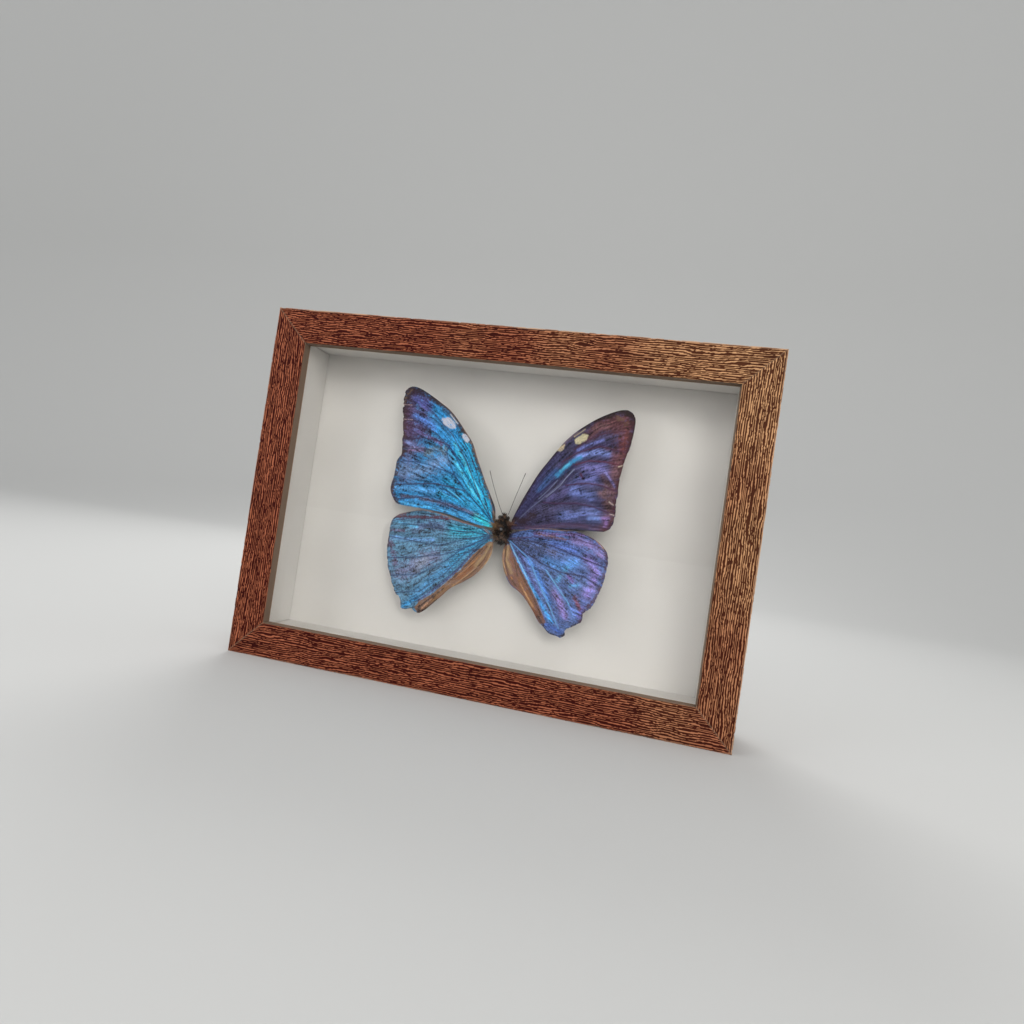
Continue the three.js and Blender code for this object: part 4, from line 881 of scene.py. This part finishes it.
def paint(colour, x, z, hue, width, ragged, line, speckle):
    """Lays one stroke of scales over the colour. It fades out at about its width from the line,
    and a closed line is filled. The speckle breaks up its edge by the ragged share."""
    reach = distance_to_line(x, z, line)
    if line[0] == line[-1]:
        reach = np.where(inside_line(x, z, line), 0, reach)
    reach = np.maximum(reach + ragged * width * STROKE_WANDER * (speckle - 0.5), 0)
    cover = STROKE_COVER * np.exp(-(reach / (STROKE_SOFTNESS * width)) ** 2)
    return colour + (np.array(linear(hue)) - colour) * cover[..., None]


def make_wing(name, wing, seed, material):
    """A thin closed sheet ruled between the leading and trailing edges that swells to the outer
    margin. It is pleated between its veins, and its scales' colours are laid on its points."""
    u = np.linspace(0, 1, WING_STEPS_OUT)[:, None]
    v = np.linspace(0, 1, WING_STEPS_ACROSS)[None, :]
    # The outer margin is a little frayed.
    fray = MARGIN_FRAY * (noise(v * 95 + 7, v * 0, seed) + noise(v * 31, v * 0, seed + 1) - 1)
    out = u - fray * u ** 9
    shape = out.shape
    front = spline(wing["leading"], out.ravel()).reshape(*shape, 2)
    rear = spline(wing["trailing"], out.ravel()).reshape(*shape, 2)
    margin = spline(wing["outer"], v.ravel())[None]
    apex, corner = np.array(wing["outer"][0]), np.array(wing["outer"][-1])
    chord = apex + (corner - apex) * v[..., None]
    place = front + (rear - front) * v[..., None] + (margin - chord) * out[..., None]
    x, z = place[..., 0], place[..., 1]

    veins = [distance_to_line(x, z, line) for _, _, line in wing["veins"]]
    nearest = np.minimum.reduce(veins)
    streaks = noise(out * 14, v * 90, seed + 2)
    wrinkles = noise(out * 9 + 3, v * 34, seed + 3)
    depth = wing["offset"] - TIP_RISE * np.abs(x) / HALF_SPAN
    depth = depth - PLEAT_HEIGHT * (1 - np.exp(-(nearest / PLEAT_REACH) ** 2))
    depth = depth - VEIN_HEIGHT * np.exp(-(nearest / VEIN_RADIUS) ** 2)
    calm = fade(0, 0.06, u) * fade(1, 0.97, u) * np.ones(shape)
    depth = depth - WRINKLE_HEIGHT * calm * ((streaks - 0.5) * 0.8 + (wrinkles - 0.5))

    fine = noise(x / 0.45 + 90, z / 0.45 + 90, seed + 4)
    coarse = noise(x / 1.6 + 60, z / 1.6 + 60, seed + 5)
    speckle = 0.4 * fine + 0.3 * coarse + 0.3 * noise(out * 9, v * 60, seed + 6)
    colour = np.zeros((*shape, 4)) + np.array(linear(wing["ground"]))
    for hue, width, ragged, line in wing["washes"]:
        colour = paint(colour, x, z, hue, width, ragged, line, speckle)
    # Streaks along the wing, painted highlights and shade of its pleats; blotches of lighter and darker
    # scales; and specks worn down to dark.
    light = 1 + 1.4 * (streaks - 0.5) + 0.6 * (coarse - 0.5) + 1.2 * (fine - 0.5)
    worn = fade(0.6, 0.85, noise(x / 0.6 + 30, z / 0.6 + 30, seed + 7) * 0.7 + 0.3 * streaks)
    colour[..., :3] *= (light * (1 - 0.35 * worn))[..., None]
    for hue, width, line in wing["veins"]:
        colour = paint(colour, x, z, hue, 1.2 * width, 0.15, line, speckle)
    # The scales are worn off along the edges.
    for edge in ("leading", "outer"):
        colour = paint(colour, x, z, wing["rim"], wing["rim_width"], 0.9, wing[edge], speckle)
    for hue, width, ragged, line in wing["marks"]:
        colour = paint(colour, x, z, hue, width, ragged, line, speckle)
    colour = np.clip(colour, 0, 1)
    colour[..., 3] = 1

    face = np.stack([x, depth, z], -1).reshape(-1, 3) + SPECIMEN
    reverse = face + (0, WING_SHEET, 0)
    points = np.vstack([face, reverse])
    size, layer = shape[1], len(face)
    faces = []
    for i in range(shape[0] - 1):
        for j in range(size - 1):
            a = i * size + j
            faces.append((a, a + size, a + size + 1, a + 1))
            faces.append((layer + a, layer + a + 1, layer + a + size + 1, layer + a + size))
    rim = [i * size for i in range(shape[0])]
    rim += [(shape[0] - 1) * size + j for j in range(1, size)]
    rim += [i * size + size - 1 for i in range(shape[0] - 2, -1, -1)]
    rim += [j for j in range(size - 2, 0, -1)]
    faces += [(b, a, a + layer, b + layer) for a, b in zip(rim, rim[1:] + rim[:1])]
    if wing["leading"][0][0] > 0:
        faces = [tuple(reversed(f)) for f in faces]
    length = np.linalg.norm(np.diff(place, axis=0), axis=-1).sum(0).max()
    across = np.linalg.norm(np.diff(place, axis=1), axis=-1).sum(1).max()
    along_wing = np.stack([(out * length), np.broadcast_to(v * across, shape)], -1).reshape(-1, 2)
    upper = colour.reshape(-1, 4)
    values = {
        "scale_colour": np.vstack([upper, upper * UNDERSIDE]),
        "along_wing": np.vstack([along_wing, along_wing])}
    return make_piece(name, points, faces, [material], values)


# ------------------------------------------------------------------ body and hairs

def make_body(material):
    """The thorax, neck and head in one skin, from the solid body's masses: merged, then pitted."""
    skin = bpy.data.meshes.new("body_skin")
    shell = bmesh.new()
    shell.from_mesh(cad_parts["body"].data)
    bmesh.ops.remove_doubles(shell, verts=shell.verts, dist=0.01 * MM)
    shell.to_mesh(skin)
    shell.free()
    piece = bpy.data.objects.new("specimen_body", skin)
    bpy.context.scene.collection.objects.link(piece)
    whole = piece.modifiers.new("One skin", "REMESH")
    whole.mode = "VOXEL"
    whole.voxel_size = BODY_VOXEL * MM
    rounded = piece.modifiers.new("Soft joins", "SMOOTH")
    rounded.factor, rounded.iterations = 0.5, 3
    apply_modifiers(piece)
    mesh = piece.data
    points = np.empty(len(mesh.vertices) * 3)
    normals = np.empty(len(mesh.vertices) * 3)
    mesh.vertices.foreach_get("co", points)
    mesh.vertices.foreach_get("normal", normals)
    at = points.reshape(-1, 3) / MM - SPECIMEN
    normals = normals.reshape(-1, 3)
    x, y, z = at.T
    eye = np.linalg.norm(np.stack([np.abs(x), y, z], -1) - EYE, axis=1)
    furry = fade(1.2, 1.9, eye)
    lumps = noise(x / 1.7 + 50, z / 1.7 + y / 1.4 + 50, 61) - 0.5
    lumps += 0.6 * (noise(x / 0.6 + 50, z / 0.6 + y / 0.6 + 50, 62) - 0.5)
    # The skin lies a little inside its hairs, but not where it meets the wings.
    root = fade(1.4, 2.6, np.abs(x)) * fade(5.2, 3.6, z)
    raised = LUMP_HEIGHT * lumps * furry * (1 - 0.6 * root) - SKIN_SINK * (1 - root)
    moved = at + normals * raised[:, None]
    mesh.vertices.foreach_set("co", ((moved + SPECIMEN) * MM).ravel())
    # Hairs grow everywhere but on the eyes and at the pin, and lighter ones where the wings join.
    pin = np.hypot(x, z - PIN_UP)
    fur = furry * fade(0.5, 1.0, pin)
    fur *= np.where(normals[:, 1] > 0.6, 0.15, 1)
    flank = fade(2.0, 3.0, np.abs(x) + 0.5 * fade(0, -5, z)) * fade(5.2, 2.5, z)
    tuft = fade(0.52, 0.68, noise(x / 0.9 + 20, z / 0.9 + 20, 63))
    maroon = fade(-0.5, 0.5, x)
    for title, numbers in (("fur", fur), ("flank", flank), ("maroon", maroon), ("tuft", tuft)):
        made = mesh.attributes.new(title, "FLOAT", "POINT")
        made.data.foreach_set("value", numbers.astype(np.float32))
    mesh.polygons.foreach_set("use_smooth", [True] * len(mesh.polygons))
    mesh.materials.clear()
    mesh.materials.append(material)
    mesh.update()
    return piece


def apply_modifiers(piece):
    """Turns the evaluated object into a plain mesh, and takes its modifiers off."""
    evaluated = piece.evaluated_get(bpy.context.evaluated_depsgraph_get())
    made = bpy.data.meshes.new_from_object(evaluated)
    piece.modifiers.clear()
    piece.data = made


def grow(name, source, tree, **sizes):
    """A copy of the source run through a Geometry Nodes tree with these inputs, as a plain mesh."""
    piece = bpy.data.objects.new(name, source.data.copy())
    bpy.context.scene.collection.objects.link(piece)
    modifier = piece.modifiers.new(name, "NODES")
    modifier.node_group = tree
    for item in tree.interface.items_tree:
        if item.item_type == "SOCKET" and item.in_out == "INPUT" and item.name in sizes:
            modifier[item.identifier] = sizes[item.name]
    apply_modifiers(piece)
    return piece


def new_tree(name, **inputs):
    """A Geometry Nodes tree with a geometry input and output and these sizes as inputs."""
    tree = bpy.data.node_groups.new(name, "GeometryNodeTree")
    tree.interface.new_socket("Geometry", in_out="INPUT", socket_type="NodeSocketGeometry")
    for title, value in inputs.items():
        kind = {int: "NodeSocketInt", float: "NodeSocketFloat"}[type(value)]
        socket = tree.interface.new_socket(title, in_out="INPUT", socket_type=kind)
        socket.default_value = value
    tree.interface.new_socket("Geometry", in_out="OUTPUT", socket_type="NodeSocketGeometry")
    return tree, tree.nodes.new("NodeGroupInput").outputs


def carried(tree, name):
    """A number that the surface carries at its points."""
    return add(tree, "GeometryNodeInputNamedAttribute", {"Name": name}, data_type="FLOAT").outputs[0]


def chance(tree, low, high, seed):
    """A random number of each point's own."""
    return add(tree, "FunctionNodeRandomValue", {2: low, 3: high, "Seed": seed},
               data_type="FLOAT").outputs[1]


def hair_tree(material):
    """Curved, tapered hairs that grow out of a surface where its "fur" is high, each with its own
    length, lean and tone."""
    tree, sizes = new_tree("Hairs", Per_Area=0.0, Length=0.0, Radius=0.0, Lean=0.0, Seed=1)
    scatter = add(tree, "GeometryNodeDistributePointsOnFaces", {
        "Mesh": sizes["Geometry"], "Density": sizes["Per_Area"], "Seed": sizes["Seed"]})
    bald = add(tree, "FunctionNodeCompare", {0: carried(tree, "fur"), 1: 0.5},
               data_type="FLOAT", operation="LESS_THAN")
    kept = add(tree, "GeometryNodeDeleteGeometry", {
        "Geometry": scatter.outputs["Points"], "Selection": bald.outputs["Result"]})
    # Hairs of one tuft are alike in tone, and lean the same way.
    tone = blend(tree, 0.3, carried(tree, "tuft"), chance(tree, 0.0, 1.0, sizes["Seed"]))
    toned = add(tree, "GeometryNodeStoreNamedAttribute", {
        "Geometry": kept.outputs[0], "Name": "tone", "Value": tone},
        data_type="FLOAT", domain="POINT")
    # One hair: a bent line with a tapering three-sided section, one unit long along Z.
    path = add(tree, "GeometryNodeCurvePrimitiveBezierSegment", {
        "Resolution": 3, "Start": (0, 0, 0), "Start Handle": (0, 0, 0.4),
        "End Handle": (0.12, 0, 0.75), "End": (0.4, 0, 0.9)})
    share = add(tree, "GeometryNodeSplineParameter").outputs["Factor"]
    section = add(tree, "GeometryNodeCurvePrimitiveCircle", {
        "Resolution": 3, "Radius": maths(tree, "DIVIDE", sizes["Radius"], sizes["Length"])})
    hair = add(tree, "GeometryNodeCurveToMesh", {
        "Curve": path.outputs[0], "Profile Curve": section.outputs[0],
        "Scale": remap(tree, share, 0.0, 1.0, 1.0, 0.15), "Fill Caps": False})
    lean = add(tree, "FunctionNodeRandomValue", {0: (-1, -1, -1), 1: (1, 1, 1), "Seed": 5},
               data_type="FLOAT_VECTOR")
    leaned = add(tree, "ShaderNodeVectorMath", {0: lean.outputs[0], "Scale": sizes["Lean"]},
                 operation="SCALE")
    sway = add(tree, "ShaderNodeTexNoise", {
        "Vector": add(tree, "GeometryNodeInputPosition").outputs[0], "Scale": 1 / (1.2 * MM),
        "Detail": 0.0})
    centred = add(tree, "ShaderNodeVectorMath", {
        0: sway.outputs["Color"], 1: (0.5, 0.5, 0.5)}, operation="SUBTRACT")
    swayed = add(tree, "ShaderNodeVectorMath", {
        0: centred.outputs[0], 1: (5, 5, 5), 2: scatter.outputs["Normal"]},
        operation="MULTIPLY_ADD")
    outward = add(tree, "ShaderNodeVectorMath", {
        0: swayed.outputs[0], 1: leaned.outputs[0]}, operation="ADD")
    turned = add(tree, "FunctionNodeAlignEulerToVector", {"Vector": outward.outputs[0]}, axis="Z")
    spin = add(tree, "FunctionNodeAxisAngleToRotation", {
        "Axis": (0, 0, 1), "Angle": chance(tree, 0.0, 6.28, 9)})
    spun = add(tree, "FunctionNodeRotateRotation", {
        "Rotation": turned.outputs[0], "Rotate By": spin.outputs[0]}, rotation_space="LOCAL")
    longer = remap(tree, carried(tree, "flank"), 0.0, 1.0, 1.0, 3.0)
    size = maths(tree, "MULTIPLY", chance(tree, 0.45, 1.0, 7), longer)
    placed = add(tree, "GeometryNodeInstanceOnPoints", {
        "Points": toned.outputs[0], "Instance": hair.outputs[0], "Rotation": spun.outputs[0],
        "Scale": maths(tree, "MULTIPLY", size, sizes["Length"])})
    real = add(tree, "GeometryNodeRealizeInstances", {"Geometry": placed.outputs[0]})
    coat = add(tree, "GeometryNodeSetMaterial", {"Geometry": real.outputs[0], "Material": material})
    add(tree, "NodeGroupOutput", {0: coat.outputs[0]})
    return tree


def antenna_tree(material):
    """A feeler along a line: a thin shaft in short joints that thickens to a slight club."""
    tree, sizes = new_tree("Feeler", Shaft_Radius=0.0, Club_Radius=0.0, Joints=40.0)
    line = add(tree, "GeometryNodeMeshToCurve", {"Mesh": sizes["Geometry"]})
    fine = add(tree, "GeometryNodeResampleCurve", {"Curve": line.outputs[0], "Count": 300})
    share = add(tree, "GeometryNodeSplineParameter").outputs["Factor"]
    club = remap(tree, share, 0.86, 0.96, sizes["Shaft_Radius"], sizes["Club_Radius"], "SMOOTHSTEP")
    phase = maths(tree, "FRACT", maths(tree, "MULTIPLY", share, sizes["Joints"]))
    joint = remap(tree, phase, 0.0, 0.25, 0.72, 1.0)
    section = add(tree, "GeometryNodeCurvePrimitiveCircle", {"Resolution": 10, "Radius": 1.0})
    shaft = add(tree, "GeometryNodeCurveToMesh", {
        "Curve": fine.outputs[0], "Profile Curve": section.outputs[0],
        "Scale": maths(tree, "MULTIPLY", club, joint), "Fill Caps": True})
    coat = add(tree, "GeometryNodeSetMaterial", {"Geometry": shaft.outputs[0], "Material": material})
    real = add(tree, "GeometryNodeRealizeInstances", {"Geometry": coat.outputs[0]})
    add(tree, "NodeGroupOutput", {0: real.outputs[0]})
    return tree


def make_antenna(name, bend, tree):
    """One feeler on its bend, a quadratic curve of three points (x, depth, z)."""
    start, middle, end = np.array(bend)
    t = np.linspace(0, 1, 40)[:, None]
    path = (1 - t) ** 2 * start + 2 * t * (1 - t) * middle + t ** 2 * end + SPECIMEN
    mesh = bpy.data.meshes.new(name + "_line")
    mesh.from_pydata((path * MM).tolist(), [(i, i + 1) for i in range(39)], [])
    line = bpy.data.objects.new(name + "_line", mesh)
    piece = grow(name, line, tree, Shaft_Radius=SHAFT_RADIUS * MM, Club_Radius=CLUB_RADIUS * MM,
                 Joints=FEELER_JOINTS)
    bpy.data.objects.remove(line)
    return piece


# ------------------------------------------------------------------ the pieces

foil, core = woodgrain_foil(), moulding_core()
SIDES = (
    ("bottom", 0, FRAME_WIDTH, FRAME_HEIGHT / 2, 11),
    ("right", 1, FRAME_HEIGHT, FRAME_WIDTH / 2, 21),
    ("top", 2, FRAME_WIDTH, FRAME_HEIGHT / 2, 31),
    ("left", 3, FRAME_HEIGHT, FRAME_WIDTH / 2, 41),
)
for side, turn, length, outward, seed in SIDES:
    rail = make_rail(f"moulding_{side}", turn, length, outward, seed, foil, core)
    keep(rail, "woodgrain_foil", f"rail_{side}")

# One blue scale material in two painted lights: lit bright cyan for the left wings, in shade and dark
# violet for the right ones.
left_scales = wing_scales("morpho_scales_lit_cyan", 0.25, "#1C2A44")
right_scales = wing_scales("morpho_scales_shaded_violet", 0.2, "#1A1230")
for seed, (name, wing) in enumerate(WINGS.items()):
    left = name.endswith("left")
    sheet = make_wing(f"{name}_sheet", wing, 100 + 10 * seed, left_scales if left else right_scales)
    keep(sheet, "wing_left" if left else "wing_right", name)

cuticle, hair = insect_cuticle(), insect_hair()
body = make_body(cuticle)
coat = grow("body_hairs", body, hair_tree(hair), Per_Area=HAIRS_PER_MM2 / MM ** 2,
            Length=HAIR_LENGTH * MM, Radius=HAIR_RADIUS * MM, Lean=HAIR_LEAN, Seed=4)
keep(body, "insect_body", "body")
keep(coat, "insect_body")
feeler = antenna_tree(cuticle)
for side, bend in ANTENNAE.items():
    keep(make_antenna(f"feeler_{side}", bend, feeler), "insect_body", f"antenna_{side}")

paper, board = white_board(), hardboard()
steel = bright_metal("zinc_plated_steel", "#C9CCD0", "#8E9296", 0.34, 0.25)
pin_steel = bright_metal("blackened_pin_steel", "#77777C", "#3C3C40", 0.42, 0.2)
brass = bright_metal("brass_plated_steel", "#D9B866", "#A07E3C", 0.3, 0.3)
finishes = {
    "glass_pane": float_glass(), "backing_card": paper, "liner_top": paper,
    "liner_bottom": paper, "liner_left": paper, "liner_right": paper, "back_board": board,
    "sawtooth_hanger": brass, "mounting_pin": pin_steel}
for name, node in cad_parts.items():
    if name.startswith(("tab_", "hanger_nail")):
        finishes[name] = steel
for name, material in finishes.items():
    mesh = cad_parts[name].data
    mesh.materials.clear()
    mesh.materials.append(material)


# ------------------------------------------------------------------ camera, light and floor

scene = bpy.context.scene
camera = bpy.data.objects.new("camera", bpy.data.cameras.new("camera"))
scene.collection.objects.link(camera)
camera.location = Vector(CAMERA_PLACE) * MM
camera.rotation_euler = [math.radians(turn) for turn in CAMERA_TURN]
camera.data.lens = CAMERA_LENS
camera.data.sensor_width = 36
camera.data.clip_start = 0.01
scene.camera = camera


def area_light(name, place, target, size, power, colour):
    """A soft square lamp at a place in millimetres that faces its target."""
    lamp = bpy.data.lights.new(name, "AREA")
    lamp.shape, lamp.size, lamp.energy = "SQUARE", size * MM, power
    lamp.color = linear(colour)[:3]
    holder = bpy.data.objects.new(name, lamp)
    scene.collection.objects.link(holder)
    holder.location = Vector(place) * MM
    holder.rotation_euler = (Vector(target) - Vector(place)).to_track_quat("-Z", "Y").to_euler()
    holder.visible_camera = False


area_light("key", (510, -900, 400), (0, 0, 80), 540, 3.3, "#FFFEFC")
area_light("top", (60, -900, 610), (0, 0, 80), 420, 1.7, "#FFFEFC")
area_light("fill", (-1030, -900, 340), (0, 0, 80), 600, 3.9, "#FAFBFF")
area_light("back_fill", (-200, 620, 700), (0, 0, 60), 500, 4, "#FFFFFF")

world = bpy.data.worlds.new("studio")
scene.world = world
world.use_nodes = True
sky = world.node_tree
rays = add(sky, "ShaderNodeLightPath")
# The room is pale all round. Mirrored in glass or metal it is dim in front and pale behind.
toward = add(sky, "ShaderNodeSeparateXYZ", {
    0: add(sky, "ShaderNodeTexCoord").outputs["Generated"]})
mirrored = remap(sky, toward.outputs["Y"], 0.0, 0.4, 0.05, 0.9)
room = blend(sky, rays.outputs["Is Glossy Ray"], 0.92, mirrored)
sky.links.new(room, sky.nodes["Background"].inputs["Strength"])
sky.nodes["Background"].inputs["Color"].default_value = linear("#F0F1F2")

studio_paint, _, paint_shader = start_material("studio_paint", Roughness=0.85)
paint_shader.inputs["Base Color"].default_value = linear("#C6C6C4")
# The floor sweeps up into the backdrop in a wide curve.
sweep = [(-2600, 0), (SWEEP_FRONT, 0)]
sweep += [(SWEEP_FRONT + SWEEP_RADIUS * math.sin(t), SWEEP_RADIUS * (1 - math.cos(t)))
          for t in np.linspace(0.05, math.pi / 2, 24)]
sweep += [(SWEEP_FRONT + SWEEP_RADIUS, 3500)]
sides = [(x, y, z) for y, z in sweep for x in (-3500, 3500)]
backdrop = make_piece("studio_sweep", sides, [
    (2 * i, 2 * i + 1, 2 * i + 3, 2 * i + 2) for i in range(len(sweep) - 1)], [studio_paint])
backdrop.visible_glossy = False
scene.view_settings.view_transform = "Standard"
